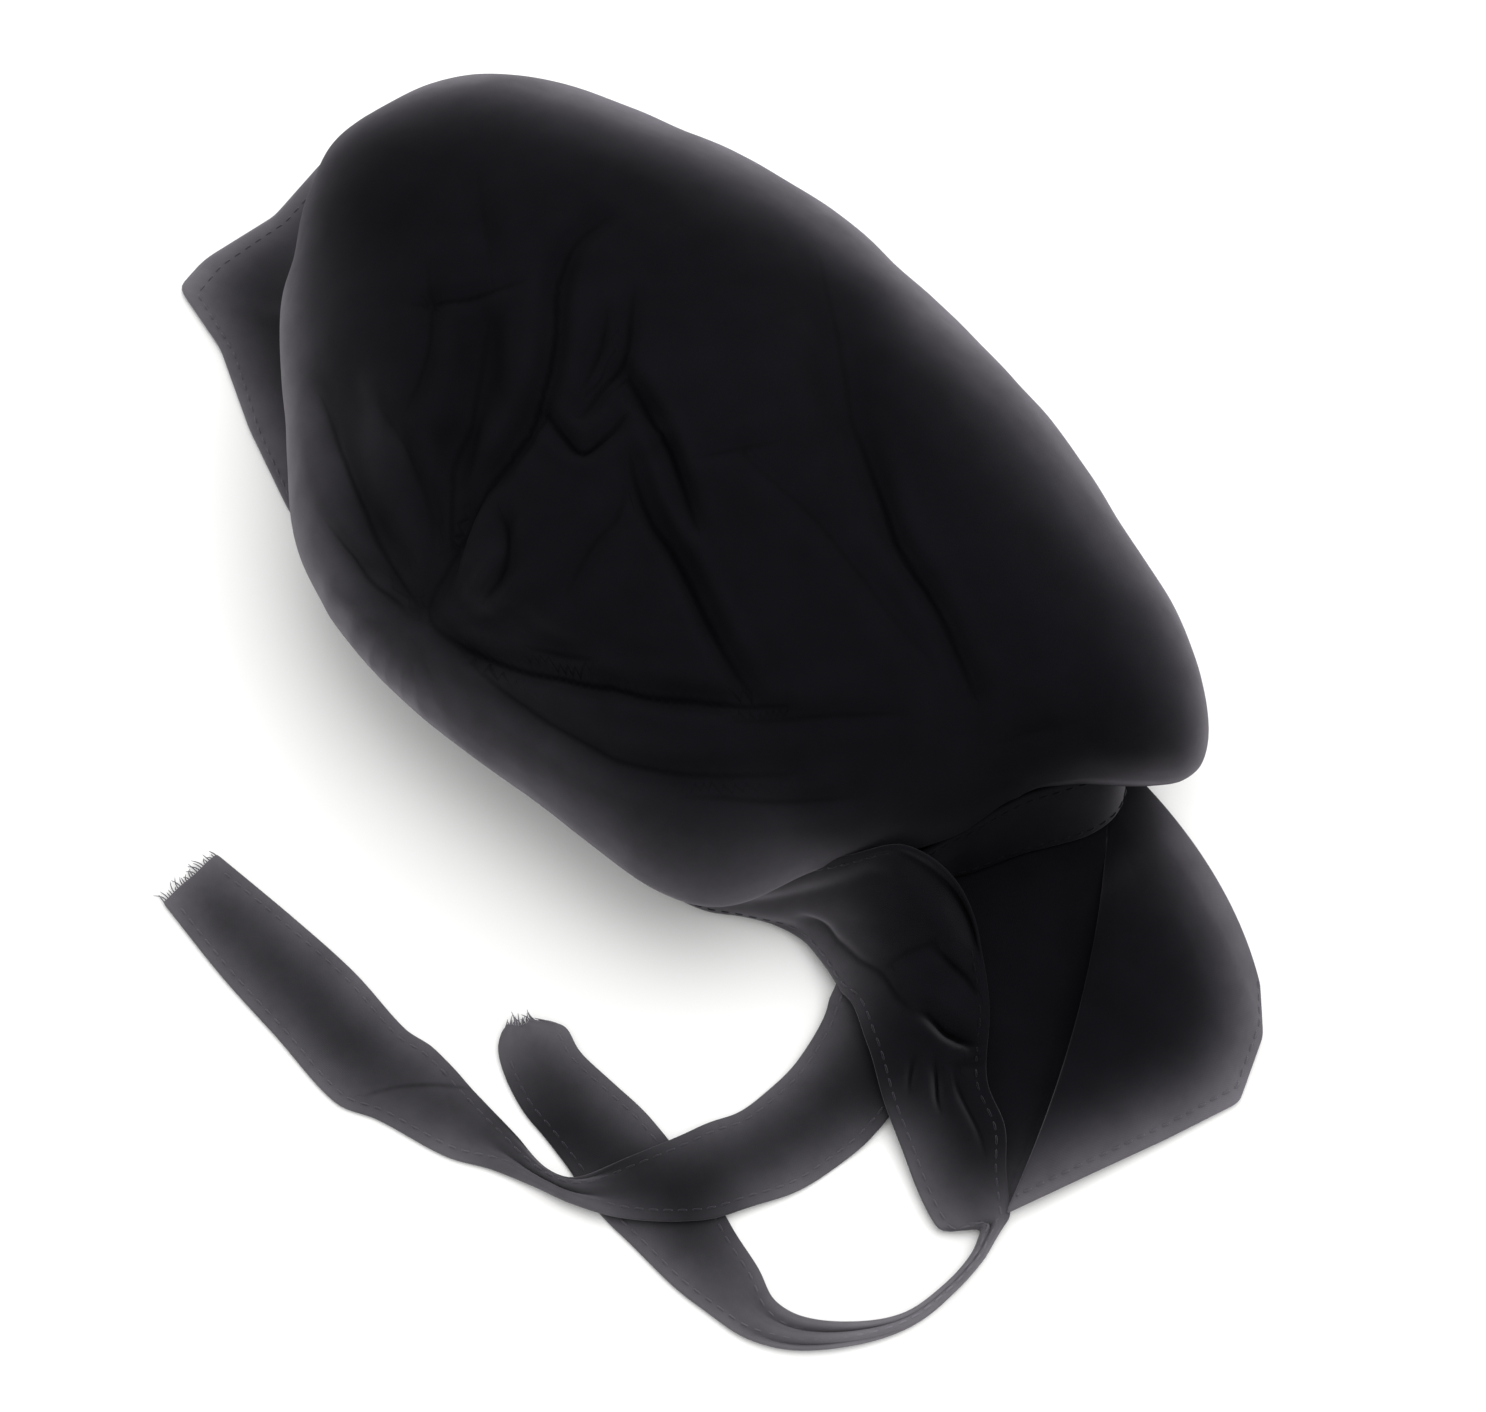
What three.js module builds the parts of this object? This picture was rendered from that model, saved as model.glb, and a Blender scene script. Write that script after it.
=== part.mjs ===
import * as THREE from "three";

// A durag: a slack cloth cap with a front band, two long ties and a short gathered cape.
// Millimetres, +Z up. The forehead side faces -Y, and the open rim lies on the plane z = 0.

// Crown
const crownLength = 272; // front to back, where the slack cloth is widest
const crownWidth = 172; // side to side, at the same level
const crownHeight = 80;
const widestHeight = 36; // level at which the crown is widest
const wallHeight = 27.6; // upright gathered wall above the rim
const overhang = 26; // how far the slack cloth hangs out over the rim
const sag = 8; // how far the overhang droops below the top of the wall
const crownThickness = 1.2;

// Front band
const browReach = 48; // how far the band spreads forward from the rim
const browThickness = 2;
const templeTurn = 60; // where the band ends and the straps begin, in degrees from the front

// Straps and ties
const tieWidth = 24;
const tieThickness = 1.2;
const tieSpread = 110; // how far the lying ties reach from the knot
const knotReach = 37.5; // how far behind the rim the straps cross
const knotTurn = 158.5; // where round the rim the straps cross, in degrees from the front
const strapLift = 2.2; // lower edge of the straps above the surface, so that the cape passes under
const leftStrapEnd = 135; // turns at which the straps leave the wall for the knot
const rightStrapEnd = 175;

// Cape
const capeLength = 84; // from the rim to the hem's far corner
const capeThickness = 1.2;
const pleatHeight = 9; // how high the upper fold of the cape stands

const clearance = 0.35; // air left between neighbouring pieces
const layer = tieThickness + clearance; // one thickness of cloth with the air under it

// Crown outline, a row for each direction round the cap. turn is in degrees: 0 is the front,
// 90 the left side, 180 the back. reach is the share of the plain oval, hang the share of the
// overhang, level the share of the widest height.
const crownOutline = [
  { turn: 0, reach: 1.0, hang: 1.1, level: 0.95 },
  { turn: 15, reach: 0.93, hang: 1.05, level: 0.95 },
  { turn: 45, reach: 0.89, hang: 0.85, level: 0.95 },
  { turn: 67, reach: 0.96, hang: 0.8, level: 0.95 },
  { turn: 80, reach: 0.97, hang: 0.75, level: 1.0 },
  { turn: 105, reach: 0.91, hang: 0.7, level: 1.0 },
  { turn: 128, reach: 0.94, hang: 0.5, level: 0.95 },
  { turn: 145, reach: 0.8, hang: 0.2, level: 0.9 },
  { turn: 161, reach: 0.76, hang: 0.14, level: 0.85 },
  { turn: 180, reach: 0.81, hang: 0.14, level: 0.85 },
  { turn: 193, reach: 0.89, hang: 0.2, level: 0.9 },
  { turn: 205, reach: 1.08, hang: 0.55, level: 0.95 },
  { turn: 218, reach: 1.13, hang: 0.85, level: 1.0 },
  { turn: 238, reach: 1.04, hang: 0.98, level: 1.0 },
  { turn: 260, reach: 0.99, hang: 1.0, level: 1.0 },
  { turn: 285, reach: 1.0, hang: 1.0, level: 1.0 },
  { turn: 310, reach: 1.02, hang: 1.05, level: 1.0 },
  { turn: 330, reach: 1.07, hang: 1.2, level: 1.0 },
  { turn: 346, reach: 1.03, hang: 1.15, level: 1.0 },
];

// Main folds of the crown, each pressed in along a line seen from above. The ends are shares of
// the half width and half length, width is a share of the half width and depth a share of the height.
const crownFolds = [
  { fromX: -0.58, fromY: -0.03, toX: -0.25, toY: 0.36, width: 0.14, depth: 0.05 },
  { fromX: -0.25, fromY: 0.36, toX: -0.13, toY: 0.7, width: 0.1, depth: 0.06 },
  { fromX: -0.36, fromY: -0.42, toX: -0.1, toY: -0.39, width: 0.09, depth: 0.03 },
  { fromX: -0.1, fromY: -0.39, toX: 0.2, toY: -0.2, width: 0.09, depth: 0.04 },
  { fromX: 0.2, fromY: -0.2, toX: 0.8, toY: -0.09, width: 0.09, depth: 0.05 },
  { fromX: 0.18, fromY: -0.39, toX: 0.47, toY: -0.25, width: 0.09, depth: 0.05 },
  { fromX: 0.47, fromY: -0.25, toX: 0.8, toY: -0.08, width: 0.09, depth: 0.05 },
  { fromX: 0.56, fromY: -0.5, toX: 0.79, toY: -0.1, width: 0.09, depth: 0.04 },
  { fromX: 0.01, fromY: -0.15, toX: 0.16, toY: 0.15, width: 0.08, depth: 0.04 },
  { fromX: 0.17, fromY: 0.02, toX: 0.35, toY: 0.43, width: 0.08, depth: 0.05 },
  { fromX: 0.8, fromY: -0.07, toX: 0.72, toY: 0.11, width: 0.1, depth: 0.06 },
  { fromX: 0.72, fromY: 0.11, toX: 0.44, toY: 0.39, width: 0.08, depth: 0.05 },
  { fromX: 0.7, fromY: 0.39, toX: 0.37, toY: 0.58, width: 0.08, depth: 0.03 },
];

// Outer edge of the front band, a row for each corner or bend. turn is where its thread meets the
// rim, side the share of the crown's half width, forward the share of the band's reach past the rim.
const browEdge = [
  { turn: -60, side: -0.86, forward: -1.25 },
  { turn: -50, side: -0.83, forward: -0.5 },
  { turn: -30, side: -0.6, forward: 0.45 },
  { turn: -15, side: -0.32, forward: 1.0 },
  { turn: -10, side: -0.16, forward: 1.08 },
  { turn: 0, side: 0.1, forward: 0.97 },
  { turn: 10, side: 0.36, forward: 1.01 },
  { turn: 15, side: 0.48, forward: 0.96 },
  { turn: 25, side: 0.52, forward: 0.5 },
  { turn: 40, side: 0.63, forward: 0 },
  { turn: 50, side: 0.72, forward: -0.55 },
  { turn: 60, side: 0.74, forward: -1.0 },
];

// Routes of the free straps, a row for each section. x and y are shares of the spread from the
// knot, heading is the way the strap runs in degrees from +X, lift is in layers of cloth, roll
// goes from lying (0) to standing on its edge (90), width and bulk are shares of the tie's width
// and thickness.
const leftRoute = [
  { x: 0.02, y: -0.34, heading: 125, lift: 1.4, roll: 70, width: 1.02, bulk: 1 },
  { x: -0.04, y: -0.26, heading: 98, lift: 1.8, roll: 48, width: 1.2, bulk: 1 },
  { x: -0.08, y: -0.17, heading: 90, lift: 3.5, roll: 30, width: 1.4, bulk: 1 },
  { x: -0.1, y: -0.08, heading: 85, lift: 4.6, roll: 10, width: 1.45, bulk: 1 },
  { x: -0.05, y: 0.05, heading: 68, lift: 4, roll: 3, width: 1.3, bulk: 1 },
  { x: 0.04, y: 0.17, heading: 62, lift: 3, roll: 0, width: 1.05, bulk: 1 },
  { x: 0.08, y: 0.27, heading: 62, lift: 2, roll: 0, width: 1.05, bulk: 1 },
  { x: 0.14, y: 0.35, heading: 64, lift: 1.4, roll: 0, width: 0.88, bulk: 1 },
  { x: 0.17, y: 0.42, heading: 68, lift: 1.2, roll: 0, width: 0.68, bulk: 1 },
  { x: 0.14, y: 0.45, heading: 61, lift: 0.9, roll: 0, width: 0.26, bulk: 1.5 },
  { x: 0.17, y: 0.47, heading: 40, lift: 0.4, roll: 0, width: 0.2, bulk: 2 },
  { x: 0.22, y: 0.49, heading: 22, lift: 0, roll: 0, width: 0.16, bulk: 2.2 },
  { x: 0.31, y: 0.5, heading: 6, lift: 0, roll: 0, width: 0.15, bulk: 2.2 },
  { x: 0.42, y: 0.49, heading: -14, lift: 0, roll: 0, width: 0.15, bulk: 2.2 },
  { x: 0.52, y: 0.44, heading: -36, lift: 0, roll: 0, width: 0.2, bulk: 2 },
  { x: 0.61, y: 0.36, heading: -52, lift: 0, roll: 0, width: 0.3, bulk: 1.5 },
  { x: 0.65, y: 0.28, heading: -78, lift: 0, roll: 0, width: 0.45, bulk: 1.2 },
  { x: 0.65, y: 0.2, heading: -90, lift: 0, roll: 0, width: 0.65, bulk: 1 },
  { x: 0.65, y: 0.11, heading: -90, lift: 0, roll: 0, width: 0.8, bulk: 1 },
  { x: 0.64, y: -0.01, heading: -92, lift: 0, roll: 0, width: 0.95, bulk: 1 },
  { x: 0.64, y: -0.13, heading: -92, lift: 0, roll: 0, width: 1, bulk: 1 },
  { x: 0.63, y: -0.23, heading: -92, lift: 0, roll: 0, width: 0.95, bulk: 1 },
  { x: 0.63, y: -0.32, heading: -90, lift: 0, roll: 0, width: 0.88, bulk: 1 },
  { x: 0.63, y: -0.42, heading: -88, lift: 0, roll: 0, width: 0.8, bulk: 1 },
  { x: 0.62, y: -0.52, heading: -80, lift: 0, roll: 0, width: 0.66, bulk: 1 },
];
const rightRoute = [
  { x: -0.21, y: -0.19, heading: 0, lift: 1.4, roll: 66, width: 1, bulk: 1 },
  { x: -0.15, y: -0.16, heading: 25, lift: 1.5, roll: 36, width: 0.95, bulk: 1 },
  { x: -0.1, y: -0.12, heading: 36, lift: 1.6, roll: 14, width: 0.95, bulk: 1 },
  { x: -0.02, y: -0.06, heading: 32, lift: 1.6, roll: 5, width: 1, bulk: 1 },
  { x: 0.09, y: 0, heading: 0, lift: 1.5, roll: 0, width: 1.15, bulk: 1 },
  { x: 0.21, y: 0.03, heading: 0, lift: 0.6, roll: 0, width: 1.08, bulk: 1 },
  { x: 0.3, y: 0.03, heading: 0, lift: 0, roll: 0, width: 1.04, bulk: 1 },
  { x: 0.39, y: 0.02, heading: -6, lift: 0.2, roll: 0, width: 1, bulk: 1 },
  { x: 0.47, y: -0.01, heading: -15, lift: 1, roll: 0, width: 0.96, bulk: 1 },
  { x: 0.55, y: -0.04, heading: -26, lift: 1.4, roll: 0, width: 0.9, bulk: 1 },
  { x: 0.68, y: -0.12, heading: -38, lift: 1.4, roll: 0, width: 0.6, bulk: 1.2 },
  { x: 0.76, y: -0.19, heading: -50, lift: 1, roll: 0, width: 0.25, bulk: 1.6 },
  { x: 0.79, y: -0.26, heading: -70, lift: 0.3, roll: 0, width: 0.2, bulk: 2 },
  { x: 0.81, y: -0.35, heading: -78, lift: 0, roll: 0, width: 0.4, bulk: 1.4 },
  { x: 0.84, y: -0.45, heading: -76, lift: 0, roll: 0, width: 0.66, bulk: 1 },
  { x: 0.87, y: -0.62, heading: -78, lift: 0, roll: 0, width: 0.92, bulk: 1 },
  { x: 0.9, y: -0.7, heading: -82, lift: 0, roll: 0, width: 1.02, bulk: 1 },
  { x: 0.9, y: -0.89, heading: -88, lift: 0, roll: 0, width: 1.02, bulk: 1 },
  { x: 0.91, y: -1.08, heading: -88, lift: 0, roll: 0, width: 0.94, bulk: 1 },
  { x: 0.92, y: -1.31, heading: -86, lift: 0, roll: 0, width: 0.74, bulk: 1 },
];

// Threads of the cape from the rim to the hem, a row for each. turn is the root on the rim.
// Sides are shares of the crown's half width, backs of the cape's length behind the rim, and
// rises of the pleat's height. The step from one thread to the next is the deep pleat.
const capeThreads = [
  { thread: 0, turn: 215, midSide: -0.51, midBack: 0.46, midRise: 0, hemSide: -0.36, hemBack: 0.82, hemRise: 0 },
  { thread: 1, turn: 210, midSide: -0.4, midBack: 0.54, midRise: 0.45, hemSide: -0.25, hemBack: 0.94, hemRise: 0.1 },
  { thread: 2, turn: 206, midSide: -0.28, midBack: 0.6, midRise: 0.7, hemSide: -0.07, hemBack: 1.03, hemRise: 0.05 },
  { thread: 3, turn: 203, midSide: -0.15, midBack: 0.6, midRise: 0.85, hemSide: 0.15, hemBack: 0.97, hemRise: 0.15 },
  { thread: 4, turn: 200, midSide: -0.01, midBack: 0.57, midRise: 1, hemSide: 0.36, hemBack: 0.9, hemRise: 0.3 },
  { thread: 5, turn: 198, midSide: 0.1, midBack: 0.55, midRise: 1, hemSide: 0.56, hemBack: 0.84, hemRise: 0.4 },
  { thread: 6, turn: 195, midSide: 0.14, midBack: 0.52, midRise: 0.05, hemSide: 0.57, hemBack: 0.82, hemRise: 0 },
  { thread: 7, turn: 175, midSide: 0.3, midBack: 0.45, midRise: 0.1, hemSide: 0.6, hemBack: 0.8, hemRise: 0 },
  { thread: 8, turn: 150, midSide: 0.48, midBack: 0.38, midRise: 0.05, hemSide: 0.63, hemBack: 0.77, hemRise: 0 },
];

// Value of every column of a table at a place between its rows: on smooth curves through the rows,
// or on straight lines. A period joins the last row to the first.
function readTable(rows, key, { period = 0, straight = false } = {}) {
  const count = rows.length;
  const columns = Object.keys(rows[0]).filter((name) => name !== key);
  const first = rows[0][key];
  const rowAt = (i) => {
    if (!period) return rows[THREE.MathUtils.clamp(i, 0, count - 1)];
    const lap = Math.floor(i / count);
    const row = rows[i - lap * count];
    return { ...row, [key]: row[key] + lap * period };
  };
  return (at) => {
    const place = period
      ? first + THREE.MathUtils.euclideanModulo(at - first, period)
      : THREE.MathUtils.clamp(at, first, rows[count - 1][key]);
    let i = 0;
    while (i < count - (period ? 1 : 2) && rowAt(i + 1)[key] <= place) i += 1;
    const [before, from, to, after] = [rowAt(i - 1), rowAt(i), rowAt(i + 1), rowAt(i + 2)];
    const span = to[key] - from[key];
    const t = (place - from[key]) / span;
    const value = {};
    for (const name of columns) {
      const line = to[name] - from[name];
      const slopeIn = straight ? line : ((to[name] - before[name]) / (to[key] - before[key])) * span;
      const slopeOut = straight ? line : ((after[name] - from[name]) / (after[key] - from[key])) * span;
      value[name] =
        from[name] * (2 * t ** 3 - 3 * t ** 2 + 1) +
        slopeIn * (t ** 3 - 2 * t ** 2 + t) +
        to[name] * (3 * t ** 2 - 2 * t ** 3) +
        slopeOut * (t ** 3 - t ** 2);
    }
    return value;
  };
}

// Places along a table: every row, and even steps between the rows.
function stations(rows, key, step) {
  const places = [rows[0][key]];
  for (let i = 1; i < rows.length; i += 1) {
    const from = rows[i - 1][key];
    const span = rows[i][key] - from;
    const count = Math.max(1, Math.round(span / step));
    for (let k = 1; k <= count; k += 1) places.push(from + (span * k) / count);
  }
  return places;
}

// A closed solid of even thickness round a grid of points. A ring joins the last column to the
// first, and a cap point closes the last row.
function clothSolid(grid, thicknessAt, { ring = false, cap = null } = {}) {
  const rowCount = grid.length;
  const columnCount = grid[0].length;
  const wrap = (j) => (ring ? (j + columnCount) % columnCount : THREE.MathUtils.clamp(j, 0, columnCount - 1));
  const pointAt = (i, j) => (i >= rowCount && cap ? cap : grid[THREE.MathUtils.clamp(i, 0, rowCount - 1)][wrap(j)]);
  const vertices = [];
  const faces = [];
  for (const side of [1, -1]) {
    for (let i = 0; i < rowCount; i += 1) {
      for (let j = 0; j < columnCount; j += 1) {
        const alongRow = pointAt(i, j + 1).clone().sub(pointAt(i, j - 1));
        const alongColumn = pointAt(i + 1, j).clone().sub(pointAt(i - 1, j));
        const normal = alongRow.cross(alongColumn).normalize();
        const offset = (side * thicknessAt(i)) / 2;
        vertices.push(grid[i][j].clone().addScaledVector(normal, offset));
      }
    }
  }
  const sideSize = rowCount * columnCount;
  const index = (side, i, j) => side * sideSize + i * columnCount + wrap(j);
  const quad = (a, b, c, d) => faces.push(a, b, c, a, c, d);
  const spans = ring ? columnCount : columnCount - 1;
  for (let i = 0; i + 1 < rowCount; i += 1) {
    for (let j = 0; j < spans; j += 1) {
      quad(index(0, i, j), index(0, i, j + 1), index(0, i + 1, j + 1), index(0, i + 1, j));
      quad(index(1, i, j), index(1, i + 1, j), index(1, i + 1, j + 1), index(1, i, j + 1));
    }
  }
  for (let j = 0; j < spans; j += 1) {
    quad(index(0, 0, j), index(1, 0, j), index(1, 0, j + 1), index(0, 0, j + 1));
    if (!cap) {
      const last = rowCount - 1;
      quad(index(0, last, j), index(0, last, j + 1), index(1, last, j + 1), index(1, last, j));
    }
  }
  if (!ring) {
    const last = columnCount - 1;
    for (let i = 0; i + 1 < rowCount; i += 1) {
      quad(index(0, i, 0), index(0, i + 1, 0), index(1, i + 1, 0), index(1, i, 0));
      quad(index(0, i, last), index(1, i, last), index(1, i + 1, last), index(0, i + 1, last));
    }
  }
  if (cap) {
    const last = rowCount - 1;
    for (const side of [0, 1]) {
      const tip = vertices.length;
      vertices.push(cap.clone().add(new THREE.Vector3(0, 0, ((side ? -1 : 1) * thicknessAt(last)) / 2)));
      for (let j = 0; j < spans; j += 1) {
        const edge = [index(side, last, j), index(side, last, j + 1)];
        faces.push(...(side ? edge.reverse() : edge), tip);
      }
    }
  }
  const geometry = new THREE.BufferGeometry().setFromPoints(vertices);
  geometry.setIndex(faces);
  return geometry;
}

const cloth = (color, roughness) => new THREE.MeshStandardMaterial({ color, roughness, metalness: 0 });
const crownCloth = cloth(0x17161a, 0.95);
const bandCloth = cloth(0x232128, 0.92);
const tieCloth = cloth(0x3a383e, 0.9);

// Crown
const outlineAt = readTable(crownOutline, "turn", { period: 360 });
const radians = THREE.MathUtils.degToRad;
const turnStep = 5; // everything that follows the rim bends at the same places, every few degrees
const seamTurn = 1; // between the ends of the front band and of the straps

function widestPoint(turn) {
  const { reach, level } = outlineAt(turn);
  const angle = radians(turn);
  return new THREE.Vector3(
    (reach * crownWidth * Math.sin(angle)) / 2,
    (-reach * crownLength * Math.cos(angle)) / 2,
    level * widestHeight,
  );
}

// Middle of the rim's cloth at a turn, moved out by some distance.
function rimPoint(turn, out = 0) {
  const inward = (at) => {
    const point = widestPoint(at).setZ(0);
    return point.setLength(point.length() - outlineAt(at).hang * overhang);
  };
  const point = inward(turn);
  const step = 1;
  const along = inward(turn + step).sub(inward(turn - step)).normalize();
  return point.add(new THREE.Vector3(along.y, -along.x, 0).multiplyScalar(out));
}

// How deep the folds press the cloth in at a point: the deepest fold there, softly blended.
function foldDepth(point) {
  const blend = 3; // higher keeps the folds more apart where they meet
  let sum = 0;
  for (const fold of crownFolds) {
    const from = new THREE.Vector2((fold.fromX * crownWidth) / 2, (fold.fromY * crownLength) / 2);
    const to = new THREE.Vector2((fold.toX * crownWidth) / 2, (fold.toY * crownLength) / 2);
    const line = to.clone().sub(from);
    const share = new THREE.Vector2(point.x, point.y).sub(from).dot(line) / line.lengthSq();
    const nearest = from.addScaledVector(line, THREE.MathUtils.clamp(share, 0, 1));
    const distance = nearest.distanceTo(new THREE.Vector2(point.x, point.y));
    const width = (fold.width * crownWidth) / 2;
    const depth = fold.depth * crownHeight * Math.exp(-((distance / width) ** 2));
    sum += depth ** blend;
  }
  return sum ** (1 / blend);
}

function makeCrown() {
  const fullness = 2.3; // 2 makes a plain ellipse of the top, more makes it boxier
  const rows = { wall: 2, under: 6, top: 14 }; // of facets, from the rim to the peak
  const peak = new THREE.Vector3(0, 0, crownHeight);
  const core = new THREE.Vector3(0, 0, wallHeight);
  const grid = [];
  const addRow = (place) => {
    const row = [];
    for (let turn = 0; turn < 360; turn += turnStep) {
      const point = place(rimPoint(turn), widestPoint(turn), outlineAt(turn).hang);
      const outward = point.clone().sub(core).normalize();
      const pressed = THREE.MathUtils.smoothstep(point.z, wallHeight, widestHeight);
      row.push(point.addScaledVector(outward, -pressed * foldDepth(point)));
    }
    grid.push(row);
  };
  for (let i = 0; i < rows.wall; i += 1) {
    addRow((rim) => rim.setZ((wallHeight * i) / rows.wall));
  }
  for (let i = 0; i < rows.under; i += 1) {
    const angle = ((i / rows.under) * Math.PI) / 2;
    addRow((rim, widest, hang) => {
      const height = THREE.MathUtils.lerp(wallHeight, widest.z, 1 - Math.cos(angle));
      const droop = sag * (hang * Math.sin(2 * angle)) ** 2;
      return rim.lerp(widest, Math.sin(angle)).setZ(height - droop);
    });
  }
  for (let i = 0; i < rows.top; i += 1) {
    const angle = ((i / rows.top) * Math.PI) / 2;
    const spread = Math.cos(angle) ** (2 / fullness);
    const rise = Math.sin(angle) ** (2 / fullness);
    addRow((rim, widest) => {
      const height = THREE.MathUtils.lerp(widest.z, crownHeight, rise);
      return peak.clone().lerp(widest, spread).setZ(height);
    });
  }
  const cap = peak.clone().setZ(crownHeight - foldDepth(peak));
  return clothSolid(grid, () => crownThickness, { ring: true, cap });
}

// Front band
function makeBrowBand() {
  const rowCount = 7;
  const top = wallHeight - crownThickness - browThickness - clearance;
  const rootOut = (crownThickness + browThickness) / 2 + clearance;
  const front = rimPoint(0).y;
  const edgeAt = readTable(browEdge, "turn", { straight: true });
  const grid = [];
  for (let i = 0; i < rowCount; i += 1) {
    const share = 1 - i / (rowCount - 1);
    grid.push(
      stations(browEdge, "turn", turnStep).map((turn) => {
        const { side, forward } = edgeAt(turn);
        const edge = new THREE.Vector3((side * crownWidth) / 2, front - forward * browReach, 0);
        const height = browThickness / 2 + (top - browThickness / 2) * (1 - share) ** 2;
        return rimPoint(turn, rootOut).lerp(edge, share).setZ(height);
      }),
    );
  }
  return clothSolid(grid, () => browThickness);
}

// Straps and ties
const knot = rimPoint(knotTurn, knotReach);

// Sections of a strap: the stretch along the rim's wall, then the free route from the knot.
function strapSections(fromTurn, toTurn, route) {
  const wallOut = (crownThickness + tieThickness) / 2 + clearance;
  const way = Math.sign(toTurn - fromTurn);
  const turns = [fromTurn];
  for (let turn = fromTurn; (toTurn - turn) * way > 0; ) {
    turn = way * (Math.floor((way * turn) / turnStep) + 1) * turnStep;
    turns.push(turn);
  }
  const sections = turns.map((turn) => {
    const place = rimPoint(turn, wallOut);
    const along = rimPoint(turn + way, wallOut).sub(rimPoint(turn - way, wallOut));
    const heading = THREE.MathUtils.radToDeg(Math.atan2(along.y, along.x));
    return { x: place.x, y: place.y, heading, lift: strapLift / layer, roll: 90, width: 1, bulk: 1 };
  });
  for (const row of route) {
    sections.push({ ...row, x: knot.x + row.x * tieSpread, y: knot.y + row.y * tieSpread });
  }
  let run = 0;
  return sections.map((section, i) => {
    if (i) run += Math.hypot(section.x - sections[i - 1].x, section.y - sections[i - 1].y);
    return { ...section, run };
  });
}

// The upper edge of a strap lies on the left of its route where upper is 1, on the right where -1.
function makeTie(fromTurn, toTurn, route, upper) {
  const step = 8; // millimetres between sections
  const columnCount = 5;
  const sections = strapSections(fromTurn, toTurn, route);
  const sectionAt = readTable(sections, "run");
  const grid = [];
  const thicknesses = [];
  for (const run of stations(sections, "run", step)) {
    const { x, y, heading, lift, roll, width, bulk } = sectionAt(run);
    const angle = radians(roll);
    const flat = Math.cos(angle);
    const thickness = bulk * tieThickness;
    const half = (width * tieWidth) / 2;
    const left = new THREE.Vector3(-Math.sin(radians(heading)), Math.cos(radians(heading)), 0);
    const toUpper = left.multiplyScalar(upper * flat).setZ(Math.sin(angle));
    const centre = new THREE.Vector3(x, y, lift * layer + (thickness * flat) / 2 + half * Math.sin(angle));
    const row = [];
    for (let j = 0; j < columnCount; j += 1) {
      const share = ((2 * j) / (columnCount - 1) - 1) * upper;
      row.push(centre.clone().addScaledVector(toUpper, -share * half));
    }
    grid.push(row);
    thicknesses.push(thickness);
  }
  return clothSolid(grid, (i) => thicknesses[i]);
}

// Cape
function makeCape() {
  const rootOut = crownThickness / 2 + 2 * clearance;
  const rowCount = 14;
  const threadStep = 1 / 2;
  const flatRoot = 0.05; // share of each thread that lies flat under the straps
  const fullRise = 0.3; // share after which the pleat stands at its full height
  const back = rimPoint(180).y;
  const threadAt = readTable(capeThreads, "thread", { straight: true });
  const at = (side, behind, rise) =>
    new THREE.Vector3((side * crownWidth) / 2, back + behind * capeLength, rise * pleatHeight);
  const threads = stations(capeThreads, "thread", threadStep).map((place) => {
    const row = threadAt(place);
    const root = rimPoint(row.turn, rootOut);
    const middle = at(row.midSide, row.midBack, row.midRise);
    const hem = at(row.hemSide, row.hemBack, row.hemRise);
    const pull = middle.multiplyScalar(2).sub(root.clone().add(hem).multiplyScalar(0.5));
    return new THREE.QuadraticBezierCurve3(root, pull, hem);
  });
  const grid = [];
  for (let i = 0; i < rowCount; i += 1) {
    const share = 1 - i / (rowCount - 1);
    grid.push(
      threads.map((thread) => {
        const point = thread.getPoint(share);
        const clear = THREE.MathUtils.smoothstep(share, flatRoot, fullRise);
        return point.setZ(capeThickness / 2 + Math.max(0, point.z) * clear);
      }),
    );
  }
  return clothSolid(grid, () => capeThickness);
}

function piece(name, geometry, material) {
  const mesh = new THREE.Mesh(geometry, material);
  mesh.name = name;
  return mesh;
}

const cap = new THREE.Group();
cap.add(
  piece("crown", makeCrown(), crownCloth),
  piece("brow_band", makeBrowBand(), bandCloth),
  piece("tie_left", makeTie(templeTurn + seamTurn, leftStrapEnd, leftRoute, 1), tieCloth),
  piece("tie_right", makeTie(360 - templeTurn - seamTurn, rightStrapEnd, rightRoute, -1), tieCloth),
  piece("cape", makeCape(), crownCloth),
);

// The origin is the middle of the whole durag's footprint, on the surface that it lies on.
const box = new THREE.Box3().setFromObject(cap);
const middle = box.getCenter(new THREE.Vector3());
cap.position.set(-middle.x, -middle.y, 0);

export default cap;
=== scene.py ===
import math

import bmesh
import bpy
import numpy as np
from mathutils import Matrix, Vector, noise


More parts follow.
